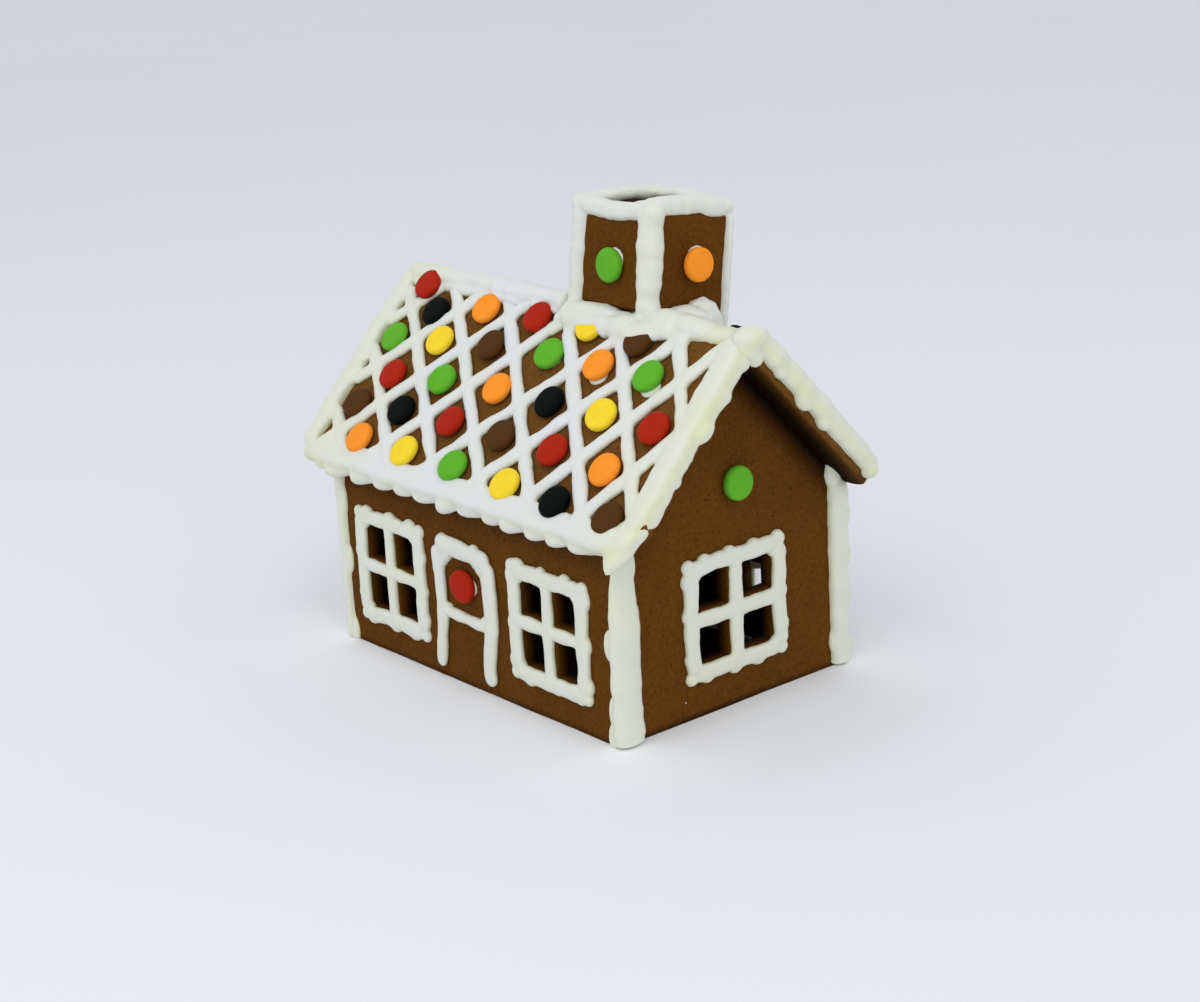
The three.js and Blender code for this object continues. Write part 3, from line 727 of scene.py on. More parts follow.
class GINGERBREAD_OT_chimney(bpy.types.Operator):
    """Bake the four panels of the chimney, cut to the slopes under them"""

    bl_idname = "gingerbread.chimney"
    bl_label = "Chimney panels"

    def execute(self, context):
        plan = Plan(context.scene)
        wide = plan.chimney_width / 2
        inner = plan.panel + 0.1
        spans = {
            "front": (-wide, wide),
            "back": (inner - wide, wide - inner),
            "right": (inner, plan.chimney_depth),
            "left": (0, plan.chimney_depth - inner),
        }
        for seed, (side, span) in enumerate(spans.items(), 10):
            matrix = plan.chimney_face(side)
            bm = rolled_dough(span, (-1.6 * plan.chimney_depth, plan.chimney_rise - 0.9), plan.panel, cell=2.5)
            to_face = matrix.inverted()
            apex = to_face @ Vector((0, 0, plan.ridge + 0.3))
            for sign in (-1, 1):
                down = Vector((0, sign * math.sin(plan.pitch), math.cos(plan.pitch)))
                if side == "front" or sign > 0:
                    trimmed(bm, apex, -(to_face.to_3x3() @ down))
            baked(bm, 0.6, 0.3, seed)
            panel_piece(context, bm, matrix, "chimney_" + side, "gingerbread", lambda place: 0.0)
        return {"FINISHED"}


def lattice(bm, plan, settings, rng, keep):
    """The crossing lines of a slope, between its borders, where keep says so."""
    limit = plan.roof_length / 2 - 1.2
    width, height = settings.line_width / MM, settings.line_height / MM
    for top, bottom in FALLING_LINES + RISING_LINES:
        stretch = []
        for k in range(62):
            down = plan.slope * k / 60
            x = top + (bottom - top) * k / 60
            if abs(x) < limit and 1.0 < down < plan.slope - 3 and keep(x, -down):
                stretch.append((x, -down, rng.uniform(0.92, 1.08)))
                continue
            if len(stretch) > 2:
                line(bm, stretch[::5] + stretch[-1:], width, height, rng, wobble=0.14, wander=0.5)
            stretch = []
    for top, bottom in FALLING_LINES:
        for high, low in RISING_LINES:
            part = (high - top) / ((bottom - top) - (low - high))
            x = top + (bottom - top) * part
            y = -plan.slope * part
            if 0 < part < 1 and abs(x) < limit and keep(x, y):
                half = width * rng.uniform(0.62, 0.72)
                dab(bm, (x, y, 0.3), (half, half, height - 0.4), math.pi / 4)


# Icing that peeps out under candies of the roof: where the candy is, and how far its dab is off its middle
DABS = [((65, 25), (2.2, -3.4)), ((37, 25), (0.8, -3.2)), ((55, 81), (-1.5, -3.2)), ((25, 80), (-1.0, -2.6)),
        ((-71, 79), (-2.6, -2.2)), ((8, 25), (1.0, -0.8)), ((-40, 79), (-1.2, -1.8)), ((-10, 11), (1.6, -1.6))]


class GINGERBREAD_OT_roof_icing(bpy.types.Operator):
    """Pipe the lattice and the borders of both slopes"""

    bl_idname = "gingerbread.roof_icing"
    bl_label = "Roof icing"

    def execute(self, context):
        plan = Plan(context.scene)
        for seed, far in ((21, False), (22, True)):
            rng = random.Random(seed)
            matrix = plan.slope_face(far)
            bm = bmesh.new()

            def clear(x, y, matrix=matrix):
                return not near_chimney(matrix @ Vector((x, y, 0)), -3.0)

            lattice(bm, plan, context.scene.gingerbread_icing, rng, clear)
            self.borders(bm, plan, rng, far)
            for (x, down), (across, along) in [] if far else DABS:
                dab(bm, (x + across, along - down, 0.2), (5.2, 4.6, 1.5))
            name = "icing_roof_" + ("back" if far else "front")
            iced(context, name, bm, matrix, seed, height_over(matrix), grain=0.69, passes=7)
        return {"FINISHED"}

    def borders(self, bm, plan, rng, far):
        """The broad lines along the verges and the eave, and what hangs off them."""
        side = plan.roof_length / 2 - 2.5
        low = 2.5 - plan.slope
        verges = {
            -1: (side + 4.2, 4.2, 3.7, 0.3, [0.9, 1.0, 1.1, 1.05, 0.95]),
            1: (side - 1.4, 5.1, 4.7, -1.4, [0.78, 1.0, 0.92, 1.08, 1.0]),
        }
        if far:
            verges[-1] = (side + 0.6, 5.0, 4.5, 1.2, [0.9, 1.0, 1.1, 1.1, 1.0])
        for sign, (edge, across, upright, level, fullness) in verges.items():
            foot = low + (0 if far or sign < 0 else 6.0)
            route = [(sign * edge, foot + (0.5 - foot) * k / 4, level, full) for k, full in enumerate(fullness)]
            pipe(bm, route, across, upright, rng, wobble=0.2, wander=1.2, roundness=0.62)
            if sign > 0:
                outer, inner = edge + across - 3.0, side - 3.6
                if not far:
                    lobes(bm, (outer, low + 14, 0), (outer, -6, 0), X_AXIS, 3.4, 13, rng, -2.8, 4.4)
                lobes(bm, (inner, low, 0), (inner, -6, 0), (0.8, 0, 0), 3.2, 10, rng, 0.2, 2.4)
                dab(bm, (side - 4, low + 4, -0.4), (6.4, 6.4, 2.8))
        level = 0.0 if far else -1.5
        if far:
            left, right = (-side + 1.5, low + 1.6, level), [(side + 2.4, low, level)]
        else:
            left = (-side - 3.4, low, level)
            right = [(side - 9, low + 0.4, level), (side - 4, low + 2.4, level, 0.95)]
        eave = [left, (-side / 2, low, level), (side / 2, low, level), *right]
        pipe(bm, eave, 4.4, 4.3, rng, wobble=0.14, wander=0.8, roundness=0.62)
        band = [(-side, low + 2.8), (0, low + 3.2), (side - 4, low + 2.8)]
        line(bm, band, 6.4, 2.6, rng, wobble=0.3, wander=1.4)
        scallops(bm, -side + 2, side - 14, low - 2.6, level - 1.6, rng)
        dab(bm, (-side - (1.0 if far else 2.6), low + (2.4 if far else -0.2), level - 0.2), (4.4, 4.8, 4.0))
        if far:
            dab(bm, (side + 1.4, low - 0.6, level - 0.8), (4.6, 5.2, 5.0))
            for down, size in ((37.5, 5.4), (51.6, 4.6), (20, 3.4)):
                dab(bm, (-side - 3.4, -down, -1.6), (3.0, size, size * 0.8))
            for down, size in ((18, 3.4), (38, 4.4), (61, 4.6), (78, 3.6)):
                dab(bm, (-side - 0.6, -down, 2.4), (4.2, size * 1.9, size * 0.8))
            return
        dab(bm, (side - 5.0, low - 0.4, -3.2), (6.4, 4.6, 4.2))
        dab(bm, (side - 2.6, low + 3.4, -2.4), (4.6, 5.6, 4.2))
        dab(bm, (side - 0.9, low + 8.6, -2.8), (3.9, 6.4, 3.8))
        drip = [(-5.4, 3.0, -2.4, 1.9), (-5.6, -2.0, -3.2, 1.45), (-5.8, -6.5, -3.8, 0.85), (-5.8, -10.5, -4.2, 0.35)]
        pipe(bm, [(side + x, low + y, z, full) for x, y, z, full in drip], 4.2, 3.0, rng, wobble=0.02, wander=0.05)
        for down, reach in ((38, 1.4), (74, 0.2)):
            dab(bm, (side + 0.9 + reach, -down, -3.4), (2.8, 5.5, 3.6))


def scallops(bm, start, end, edge, level, rng):
    """A thin rope along the lower edge of a border, that sags in an uneven tooth every so often."""
    x, route = start, []
    while x < end:
        stretch = rng.uniform(8.0, 15.0)
        drop = rng.uniform(1.1, 2.7)
        route.append((x, edge - drop, level, rng.uniform(0.95, 1.15)))
        route.append((x + stretch * 0.45, edge - drop * 0.45, level))
        route.append((x + stretch, edge + rng.uniform(0.2, 0.9), level, 0.9))
        x += stretch + rng.uniform(2.4, 3.8)
    pipe(bm, route, 2.6, 3.2, rng, wobble=0.08, wander=0.3)


class GINGERBREAD_OT_ridge_icing(bpy.types.Operator):
    """Pipe the thick line of icing along the ridge, left of the chimney"""

    bl_idname = "gingerbread.ridge_icing"
    bl_label = "Ridge icing"

    def execute(self, context):
        plan = Plan(context.scene)
        rng = random.Random(31)
        bm = bmesh.new()
        low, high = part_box("icing_ridge")
        fullness = [0.9, 1.1, 0.92, 1.05, 1.15, 0.95, 1.2]
        route = []
        for k, full in enumerate(fullness):
            x = low.x / MM + 0.5 + ((high.x - low.x) / MM + 7) * k / (len(fullness) - 1)
            route.append((x, rng.uniform(-0.4, 0.4), plan.ridge - 0.8, full))
        pipe(bm, route, 5.2, 4.4, rng, wobble=0.2, wander=1.0, blunt=True)
        dab(bm, (route[0][0] + 1.5, 0, plan.ridge - 1.5), (4.0, 5.2, 5.2))
        slope = [(x, y * 0.5 - 3.0, plan.ridge - 3.4, full) for x, y, _, full in route]
        pipe(bm, slope, 3.4, 2.6, rng, wobble=0.2, wander=0.9)
        iced(context, "icing_ridge", bm, Matrix.Identity(4), 31, plan.over_roof, 3.4, grain=0.6)
        return {"FINISHED"}


class GINGERBREAD_OT_chimney_icing(bpy.types.Operator):
    """Pipe the chimney's corners and rim, bank icing round its foot, and pipe on to the right gable"""

    bl_idname = "gingerbread.chimney_icing"
    bl_label = "Chimney icing"

    def execute(self, context):
        plan = Plan(context.scene)
        rng = random.Random(41)
        bm = bmesh.new()
        self.walls(bm, plan, rng)
        self.rim(bm, plan, rng)
        self.foot(bm, plan, rng)
        bmesh.ops.transform(bm, matrix=plan.chimney, verts=bm.verts)
        self.ridge(bm, plan, rng)
        candies = {"front": ("candy_chimney_green", 0.7, 2.2), "right": ("candy_chimney_orange", 0.4, 2.4)}
        for side, (node, across, up) in candies.items():
            matrix = plan.chimney_face(side)
            place = matrix.inverted() @ middle_of(node)
            part = bmesh.new()
            dab(part, (place.x + across, place.y + up, 0.2), (5.0, 5.0, 1.6))
            joined(bm, part, matrix)
        for far in (False, True):
            matrix = plan.slope_face(far)
            part = bmesh.new()
            if not far:
                band = [(1, -5.4, 0.8), (9, -7.6, 1.05), (22, -8.2), (34, -7.6), (46, -8.4, 1.1)]
                line(part, band + [(55, -6.4), (65, -3.5)], 9.0, 5.2, rng, wobble=0.26, wander=1.2)
                lobes(part, (0, -10.2, 0), (54, -10.2, 0), (0, -0.8, 0), 3.0, 9, rng, 1.2, 3.2)

            def close(x, y, matrix=matrix):
                return near_chimney(matrix @ Vector((x, y, 0)), 2.0)

            lattice(part, plan, context.scene.gingerbread_icing, rng, close)
            joined(bm, part, matrix)
        house = Matrix.Identity(4)
        iced(context, "icing_chimney", bm, house, 41, plan.over_roof, 4.0, 0.22, grain=0.62, lumps=0.45)
        return {"FINISHED"}

    def walls(self, bm, plan, rng):
        """The lines up the four corners."""
        wide, deep, rise = plan.stack
        left = [(0.4 - wide + 1.6, 2.3, -1), (2.0 - wide, 2.3, rise / 2), (2.2 - wide, 2.3, rise)]
        near = [(wide - 2.2, 2.2, -1, 0.95), (wide - 2.5, 2.0, rise / 2, 1.0), (wide - 3.0, 2.0, rise, 1.12)]
        for across, route in ((4.5, left), (5.0, near)):
            pipe(bm, route, across, 4.9, rng, up=Y_AXIS, wobble=0.16, wander=0.7)
        back = deep - 0.2
        for x in (1.8 - wide, wide - 1.8):
            route = [(x, back, -back * plan.slant), (x, back, 0), (x, back, rise)]
            pipe(bm, route, 3.8, 2.3, rng, up=Y_AXIS, wobble=0.14, wander=0.4)

    def rim(self, bm, plan, rng):
        """The line round the top."""
        wide, deep, rise = plan.stack
        middle = plan.panel / 2
        rear, side = deep - middle, wide - middle
        points = [(-wide, -1.0), (-9, -2.9), (6, -2.9), (wide, -1.8)]
        pipe(bm, [(x, middle, rise + z) for x, z in points], 5.0, 3.6, rng, wobble=0.13, wander=0.7, roundness=0.8)
        route = [(-wide, rear, rise + 2.4), (0, rear, rise + 2.3), (wide, rear, rise + 0.9)]
        pipe(bm, route, 4.6, 2.6, rng, wobble=0.16, wander=0.5)
        route = [(-side, -0.5, rise - 0.6), (-side, deep / 2, rise + 1.4), (-side, deep, rise + 2.4)]
        pipe(bm, route, 4.6, 2.8, rng, wobble=0.16, wander=0.5)
        route = [(side, -0.5, rise - 0.2), (side - 1, deep / 2, rise + 0.5), (side, deep, rise - 0.6)]
        pipe(bm, route, 5.2, 4.0, rng, wobble=0.16, wander=0.6, roundness=0.85)
        dab(bm, (wide - 9, deep - 9, rise + 1.6), (7, 8, 2.8))
        dab(bm, (wide - 11, 7, rise - 0.8), (7, 6.5, 2.6))
        for x in (1.6 - wide, wide - 1.6):
            dab(bm, (x, 1.8, rise - 2.2), (4.8, 4.8, 4.6))
            dab(bm, (x, deep - 1.8, rise + 0.4), (3.8, 3.6, 3.4))

    def foot(self, bm, plan, rng):
        """The bank of icing round the foot, with a heap against the right side."""
        wide, deep, _ = plan.stack
        reach, foot = wide + 0.5, deep + 0.5
        fall = 1 - foot * plan.slant
        up = Vector((0, math.sin(plan.pitch), math.cos(plan.pitch)))
        front = [(-reach - 1, -1.6, 0.0), (-13, -1.6, 0.4), (0, -1.4, 0.4), (10, -1.4, -0.6, 0.95), (reach, -1.4, -1.4)]
        pipe(bm, front, 4.0, 3.4, rng, wobble=0.25, wander=0.9)
        for x, rest in ((-reach, 1.0), (reach, -1.6)):
            pipe(bm, [(x, 0, rest, 0.85), (x, foot, fall)], 5.6, 5.4, rng, up=up, wobble=0.2)
        pipe(bm, [(-reach, foot, fall), (reach, foot, fall)], 5.6, 5.6, rng, wobble=0.2)
        dab(bm, (wide + 6, 15, -2.0), (11, 11, 9.0))
        dab(bm, (wide + 3, 25, -4), (7, 11, 13))
        dab(bm, (wide + 16, 10, -2.5), (13, 8, 7))
        dab(bm, (wide + 9, 1, -2.5), (12, 6, 4.4))

    def ridge(self, bm, plan, rng):
        """The line along the ridge on to the right gable, with the drip at its peak."""
        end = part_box("icing_chimney")[1].x / MM
        points = [
            (-3, 0.5, -0.6, 0.8), (3, 1, -3.4, 1), (24, 1, -4.6, 1), (44, 1, -3.8, 1), (52, 0, -0.6, 1.1),
            (68, 0, -0.4, 1), (80, 0, -1.9, 0.85), (89, 0.5, -2.0, 0.85), (end, 0.5, -0.6, 1),
        ]
        route = [(x, y, plan.ridge - 1.0 + z, full) for x, y, z, full in points]
        pipe(bm, route, 5.6, 4.8, rng, wobble=0.14, wander=0.7)
        dab(bm, (end - 4.6, 0.8, plan.ridge - 1.2), (6.2, 7.6, 4.8))
        dab(bm, (end - 3.4, -0.4, plan.ridge - 4.2), (3.6, 6.4, 5.6))
        dab(bm, (end - 2.8, 1.6, plan.ridge - 6.7), (2.8, 4.4, 5.6))


class GINGERBREAD_OT_window_icing(bpy.types.Operator):
    """Pipe a scalloped frame and a cross over every window"""

    bl_idname = "gingerbread.window_icing"
    bl_label = "Window icing"

    def execute(self, context):
        plan = Plan(context.scene)
        places = []
        for side, far in (("front", False), ("back", True)):
            places += [(f"{side}_{name}", window, plan.long_face(far)) for name, window in LONG_WINDOWS.items()]
        for side, far in (("right", False), ("left", True)):
            places.append(("gable_" + side, GABLE_WINDOW, plan.gable_face(far)))
        for seed, (name, window, matrix) in enumerate(places, 51):
            bm = bmesh.new()
            self.frame_lines(bm, window, random.Random(seed))
            if name == "back_left":
                dab(bm, (-35.5, 32.3, 0.5), (6.5, 5.4, 1.9))
            iced(context, "icing_window_" + name, bm, matrix, seed, height_over(matrix), least=0.3)
        return {"FINISHED"}

    def frame_lines(self, bm, window, rng):
        """The four sides with their scallops, the cross, and dabs that fill the upper and lower corners."""
        (x, y), (width, height), bar = window["middle"], window["size"], window["bar"]
        broad, tall = 6.7, 2.7
        right, top = width / 2 + broad / 2 - 0.5, height / 2 + broad / 2 - 0.5
        for sign in (-1, 1):
            end = y + sign * top
            rail = [(x - right, end), (x, y + sign * (top + rng.uniform(-0.4, 0.4))), (x + right, end)]
            end = x + sign * right
            post = [(end, y - top), (x + sign * (right + rng.uniform(-0.4, 0.4)), y), (end, y + top)]
            line(bm, rail, broad, tall, rng, wobble=0.16, wander=0.7, roundness=0.8)
            line(bm, post, broad, tall, rng, wobble=0.14, wander=0.5, roundness=0.8)
            outside = y + sign * (top + 1.3)
            lobes(bm, (x - right, outside, 0), (x + right, outside, 0), (0, sign * 0.1, 0), 3.4, 12.5, rng)
            outside = x + sign * (right + 0.9)
            lobes(bm, (outside, y - top, 0), (outside, y + top, 0), (sign * -0.3, 0, 0), 3.5, 15, rng)
            for side in (-1, 1):
                dab(bm, (x + side * (right + 0.8), y + sign * (top + 0.8), 0.5), (3.1, 3.1, 1.9))
        line(bm, [(x - right, y + 0.2), (x, y), (x + right, y - 0.2)], bar, tall, rng, wobble=0.16)
        line(bm, [(x - 0.2, y - top), (x, y), (x + 0.2, y + top)], bar, tall, rng, wobble=0.16)
        for side in (-1, 1):
            dab(bm, (x + side * (width / 2 + 0.1), y + height / 2 + 0.1, 0.5), (2.9, 2.9, 1.9))
            dab(bm, (x + side * (width / 2 + 0.3), y - height / 2 - 0.3, 0.5), (2.3, 2.3, 1.8))
        dab(bm, (x, y, 0.5), (bar * 0.66, bar * 0.66, 1.9))


# Door: width, height, unsteadiness and (x, y, fullness) points of each line, then dabs as (x, y, half size)
DOOR_LINES = [
    (7.4, 3.1, 0.12, [(-18.6, 55.5, 1.15), (-17.8, 42, 0.85), (-17.6, 28, 0.85), (-19.4, 14, 0.8), (-20.6, 4.2, 0.9)]),
    (7.6, 3.2, 0.12, [
        (12.5, 55.0, 1.15), (13.8, 44, 1.05), (13.8, 30, 1.0), (13.2, 24, 1.0), (11.0, 12, 0.9), (12.4, 4.2, 0.95),
    ]),
    (7.8, 3.1, 0.14, [(-19.0, 56.0), (-9, 56.6, 1.1), (2, 55.8, 0.95), (9, 55.2), (14.5, 54.0)]),
    (4.9, 2.7, 0.15, [(-17, 29.0), (-4, 28.6), (8, 28.2), (13, 28.6)]),
]
DOOR_DABS = [(-14.0, 52.4, 3.6), (-11.4, 53.8, 3.0), (-15.6, 49.6, 2.6), (8.8, 51.6, 3.9), (6.0, 53.0, 3.0),
             (10.6, 48.6, 2.6), (9.4, 30.4, 2.2), (-13.8, 30.6, 2.0)]


class GINGERBREAD_OT_door_icing(bpy.types.Operator):
    """Pipe the outline of a door with a round-cornered light on both long walls"""

    bl_idname = "gingerbread.door_icing"
    bl_label = "Door icing"

    def execute(self, context):
        plan = Plan(context.scene)
        for seed, side in enumerate(("front", "back"), 61):
            rng = random.Random(seed)
            matrix = plan.long_face(side == "back")
            bm = bmesh.new()
            for width, height, wobble, route in DOOR_LINES:
                line(bm, route, width, height, rng, wobble=wobble)
            for x, y, half in DOOR_DABS:
                dab(bm, (x, y, 0.3), (half, half, 2.2))
            lobes(bm, (-18, 57.6, 0), (13, 56.6, 0), (0, 0.7, 0), 3.2, 9.0, rng)
            dab(bm, (-0.2, 42.0, 0.2), (5.4, 4.4, 1.4))
            iced(context, "icing_door_" + side, bm, matrix, seed, height_over(matrix), least=0.2)
        return {"FINISHED"}


class GINGERBREAD_OT_corner_icing(bpy.types.Operator):
    """Pipe the thick icing that glues each corner of the house"""

    bl_idname = "gingerbread.corner_icing"
    bl_label = "Corner icing"

    def execute(self, context):
        plan = Plan(context.scene)
        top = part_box("wall_front")[1].z / MM + 2.0
        half, deep = plan.wall_length / 2, plan.depth / 2

        def outside(place):
            return max(abs(place.x) - half, abs(place.y) - deep)

        corners = [(y_side, x_side) for y_side in (-1, 1) for x_side in (-1, 1)]
        for seed, (y_side, x_side) in enumerate(corners, 71):
            rng = random.Random(seed)
            bm = bmesh.new()
            near = x_side > 0 > y_side
            breadth = 6.7 if y_side < 0 else 4.8
            x = x_side * (half + 0.1) + (0.9 if near else 0.0)
            y = y_side * (deep + 2.6 - breadth)
            fullness = [1.0, 0.92, 0.98, 1.0, 0.85, 0.58, 0.45] if near else [0.92, 0.88, 0.95, 0.98, 1.04, 1.0, 1.08]
            route = [(x, y, 1.0 + (top - 1.0) * k / 6, full) for k, full in enumerate(fullness)]
            pipe(bm, route, 3.3, breadth, rng, up=Y_AXIS, wobble=0.14, wander=0.7, roundness=0.8)
            for z, bulge in ((3, 2.6), (37, 2.8), (14, 1.2) if near else (58, 1.6)):
                place = (x_side * (half - 2.4), y_side * (deep + 0.1), z + rng.uniform(-2, 2))
                dab(bm, place, (bulge, 1.7, 6.5))
            for k in range(4):
                edge = y_side * (deep + 4.4 - 2 * breadth)
                place = (x_side * (half + 0.3), edge, 12 + 18 * k + rng.uniform(-4, 4))
                dab(bm, place, (1.8, rng.uniform(1.6, 3.0), 6.0))
            dab(bm, (x + x_side * 0.2, y, 2.0), (3.9, breadth + 0.3, 1.9))
            if y_side > 0:
                dab(bm, (x, y - 1.8, top + 2.0), (3.2, 4.6, 6.5))
                for k in range(4):
                    place = (x, y + breadth - 0.6, 9 + 18 * k + rng.uniform(-4, 4))
                    dab(bm, place, (2.8, rng.uniform(1.2, 2.4), rng.uniform(4.0, 6.5)))
            name = "icing_corner_" + ("front" if y_side < 0 else "back") + ("_left" if x_side < 0 else "_right")
            piece = iced(context, name, bm, Matrix.Identity(4), seed, outside, 2.8, 0.25, grain=0.55)
            for vert in piece.data.vertices:
                vert.co.z = max(vert.co.z, 0.0001)
        return {"FINISHED"}


# Half of a candy's outline, as shares of its radius and its thickness
CANDY_PROFILE = [(0.0, 1.0), (0.45, 1.0), (0.76, 0.985), (0.87, 0.95), (0.94, 0.87), (0.985, 0.74), (1.0, 0.58),
                 (1.0, 0.44), (0.98, 0.28), (0.93, 0.14), (0.84, 0.05), (0.7, 0.0), (0.0, 0.0)]


def candy_button(settings, matrix, rng):
    """A flat candy with a rounded rim, spun round its axis; the matrix leads from its middle to the house."""
    radius, thickness = settings.radius / MM, settings.thickness / MM
    bm = bmesh.new()
    verts = [bm.verts.new((r * radius, 0, (z - 0.5) * thickness)) for r, z in CANDY_PROFILE]
    edges = [bm.edges.new(pair) for pair in zip(verts, verts[1:])]
    bmesh.ops.spin(
        bm, geom=verts + edges, cent=(0, 0, 0), axis=(0, 0, 1), angle=2 * math.pi, steps=40, use_merge=True
    )
    bmesh.ops.remove_doubles(bm, verts=bm.verts, dist=0.001)
    bmesh.ops.recalc_face_normals(bm, faces=bm.faces)
    shift = Vector((rng.uniform(0, 99), 0, 0))
    for vert in bm.verts:
        vert.co += vert.co.normalized() * 0.10 * noise.noise(vert.co / 9 + shift)
    tilt = Matrix.Rotation(math.radians(rng.uniform(0, 4)), 4, Vector((rng.uniform(-1, 1), rng.uniform(-1, 1), 0)))
    bmesh.ops.transform(bm, matrix=TO_METRES @ matrix @ tilt, verts=bm.verts)
    return bm


class GINGERBREAD_OT_candies(bpy.types.Operator):
    """Set the candy buttons on the roof, the doors, the gables and the chimney"""

    bl_idname = "gingerbread.candies"
    bl_label = "Candies"

    def execute(self, context):
        plan = Plan(context.scene)
        rng = random.Random(81)
        faces = {
            "roof": (plan.slope_face(), plan.slope_face(True), "roof_back"),
            "door": (plan.long_face(), plan.long_face(True), "wall_back"),
            "gable": (plan.gable_face(), plan.gable_face(True), "gable_left"),
            "chimney_green": (plan.chimney_face("front"), plan.chimney_face("back"), "chimney_back"),
            "chimney_orange": (plan.chimney_face("right"), plan.chimney_face("left"), "chimney_left"),
        }
        trees = {panel: self.surface(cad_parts[panel]) for _, _, panel in faces.values()}

        def place(name, matrix, node):
            slot = "candy_" + name.rsplit("_", 1)[1]
            finished(context, name, candy_button(context.scene.gingerbread_candy, matrix, rng), slot, node)

        for node in sorted(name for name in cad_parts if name.startswith("candy_")):
            near_face, far_face, panel = next(faces[key] for key in faces if node.startswith("candy_" + key))
            middle = near_face.inverted() @ middle_of(node) + Vector(NUDGES.get(node, (0, 0, 0)))
            local = Matrix.Translation(middle)
            place(node, near_face @ local, node)
            if self.has_candy(trees[panel], far_face @ local):
                place(node.replace("candy_", "candy_back_"), far_face @ local, panel)
        peeping = plan.slope_face(True) @ Matrix.Translation((-86.5, -9.2, 3.4))
        place("candy_back_roof_peeping_black", peeping, "roof_back")
        return {"FINISHED"}

    def surface(self, panel):
        bm = bmesh.new()
        bm.from_mesh(panel.data)
        bmesh.ops.transform(bm, matrix=panel.matrix_world, verts=bm.verts)
        tree = BVHTree.FromBMesh(bm)
        bm.free()
        return tree

    def has_candy(self, panel, matrix):
        """True where a panel of the frame has a candy moulded on it."""
        outward = matrix.to_3x3() @ Z_AXIS
        hit = panel.ray_cast((matrix.translation + outward * 8) * MM, -outward, 0.008)
        return hit[0] is not None


# Studio, in metres and degrees. Lamps: place, size and tint. Camera: azimuth, elevation and roll
SKY_COLOUR, SKY_STRENGTH = (0.962, 0.974, 1.0, 1.0), 0.79
LAMPS = {"Key": ((0.30, -0.70, 1.15), 1.2, (1.0, 0.99, 0.98)), "Fill": ((1.9, -1.0, 0.9), 1.6, (1.0, 0.99, 0.975))}
LAMP_AIM = Vector((0, 0, 0.07))
CAMERA_ANGLES, CAMERA_LENS = (50.67, 17.09, -3.07), 66.525
CAMERA_AIM, CAMERA_DISTANCE = Vector((0.0106, 0, 0.0648)), 0.8722


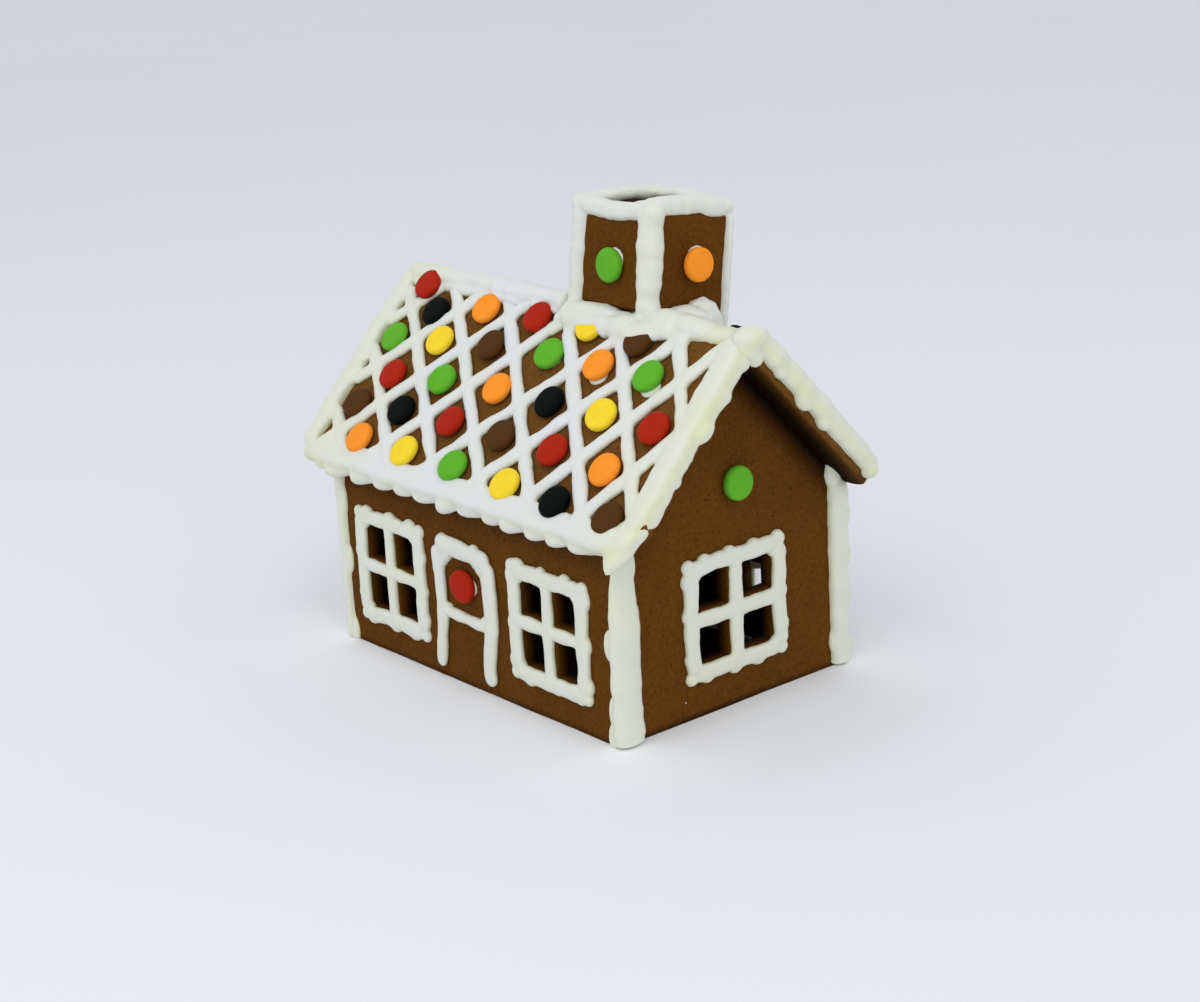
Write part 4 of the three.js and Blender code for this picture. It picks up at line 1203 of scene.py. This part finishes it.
class GINGERBREAD_OT_studio(bpy.types.Operator):
    """Lay the floor, hang the lights and set up the camera"""

    bl_idname = "gingerbread.studio"
    bl_label = "Studio"

    def execute(self, context):
        scene = context.scene
        bm = bmesh.new()
        bmesh.ops.create_grid(bm, x_segments=8, y_segments=8, size=9.0)
        floor = shown(context, "floor", mesh_of(bm, "floor"))
        floor.data.materials.append(self.paper(scene))

        world = bpy.data.worlds.new("Studio")
        world.use_nodes = True
        sky = world.node_tree.nodes["Background"].inputs
        sky["Color"].default_value = SKY_COLOUR
        sky["Strength"].default_value = SKY_STRENGTH
        scene.world = world
        for name, (place, size, tint) in LAMPS.items():
            light = bpy.data.lights.new(name, "AREA")
            light.size = size
            light.energy = getattr(scene.gingerbread_studio, name.lower())
            light.color = tint
            aim = LAMP_AIM - Vector(place)
            lamp = shown(context, name, light)
            lamp.matrix_world = Matrix.Translation(place) @ aim.to_track_quat("-Z", "Y").to_matrix().to_4x4()
        self.camera(context)
        return {"FINISHED"}

    def paper(self, scene):
        """Plain paper, with painted shade inside the house and painted light a little way round its walls."""
        sizes = scene.gingerbread_sizes
        finish = Finish("Floor_paper", {"Roughness": 0.85, "Specular IOR Level": 0.15})
        base = tuple(scene.gingerbread_studio.floor)
        paper = finish.mix(finish.spread(finish.noise(0.6, 2.0), 0.3, 0.7), shade(base, 0.985), base)
        spot = finish.add("ShaderNodeSeparateXYZ", {"Vector": finish.place}).outputs
        room = {"X": sizes.wall_length / 2 - sizes.panel, "Y": sizes.depth / 2 - sizes.panel}

        def within(full, none):
            """1 up to a reach beyond the room, and 0 from another."""
            return finish.math("MULTIPLY", *[
                finish.spread(finish.math("ABSOLUTE", spot[axis]), reach + full, reach + none, 1.0, 0.0)
                for axis, reach in room.items()
            ])

        # Painted light: the paper made paler close to the walls
        paper = finish.mix(within(sizes.panel, 0.06), paper, (0.95, 0.97, 1.0))
        # Painted shade: the paper made dark inside the house
        finish.colour(finish.mix(within(-0.004, 0.0), paper, tuple(scene.gingerbread_dough.pore_and_shade)))
        return finish.material

    def camera(self, context):
        azimuth, elevation, roll = (math.radians(angle) for angle in CAMERA_ANGLES)
        flat = math.cos(elevation)
        back = Vector((math.sin(azimuth) * flat, -math.cos(azimuth) * flat, math.sin(elevation)))
        level = Vector((math.cos(azimuth), math.sin(azimuth), 0))
        upright = back.cross(level)
        right = math.cos(roll) * level + math.sin(roll) * upright
        up = math.cos(roll) * upright - math.sin(roll) * level
        lens = bpy.data.cameras.new("Camera")
        lens.sensor_width = 36.0
        lens.lens = CAMERA_LENS
        lens.clip_start = 0.01
        camera = shown(context, "Camera", lens)
        camera.matrix_world = face(CAMERA_AIM + back * CAMERA_DISTANCE, right, up)
        context.scene.camera = camera
        context.scene.view_settings.view_transform = "Standard"


# Panel and registration


SETTINGS = {
    "gingerbread_sizes": HouseSizes,
    "gingerbread_dough": DoughSettings,
    "gingerbread_icing": IcingSettings,
    "gingerbread_candy": CandySettings,
    "gingerbread_studio": StudioSettings,
}
OPERATORS = [
    GINGERBREAD_OT_studio,
    GINGERBREAD_OT_walls,
    GINGERBREAD_OT_gables,
    GINGERBREAD_OT_roof,
    GINGERBREAD_OT_chimney,
    GINGERBREAD_OT_roof_icing,
    GINGERBREAD_OT_ridge_icing,
    GINGERBREAD_OT_chimney_icing,
    GINGERBREAD_OT_window_icing,
    GINGERBREAD_OT_door_icing,
    GINGERBREAD_OT_corner_icing,
    GINGERBREAD_OT_candies,
]


class GINGERBREAD_PT_house(bpy.types.Panel):
    """Settings and steps of the gingerbread house"""

    bl_idname = "GINGERBREAD_PT_house"
    bl_label = "Gingerbread House"
    bl_space_type = "VIEW_3D"
    bl_region_type = "UI"
    bl_category = "Gingerbread"

    def draw(self, context):
        for name, group in SETTINGS.items():
            box = self.layout.box()
            box.label(text=group.__doc__)
            for key in group.__annotations__:
                box.prop(getattr(context.scene, name), key)
        for operator in OPERATORS:
            self.layout.operator(operator.bl_idname)


def register():
    for group in SETTINGS.values():
        bpy.utils.register_class(group)
    for operator in OPERATORS:
        bpy.utils.register_class(operator)
    bpy.utils.register_class(GINGERBREAD_PT_house)
    for name, group in SETTINGS.items():
        setattr(bpy.types.Scene, name, PointerProperty(type=group))


def unregister():
    for name in SETTINGS:
        delattr(bpy.types.Scene, name)
    for kind in [GINGERBREAD_PT_house, *OPERATORS, *SETTINGS.values()]:
        bpy.utils.unregister_class(kind)


def main():
    register()
    for operator in OPERATORS:
        group, name = operator.bl_idname.split(".")
        getattr(getattr(bpy.ops, group), name)()


if __name__ == "__main__":
    main()
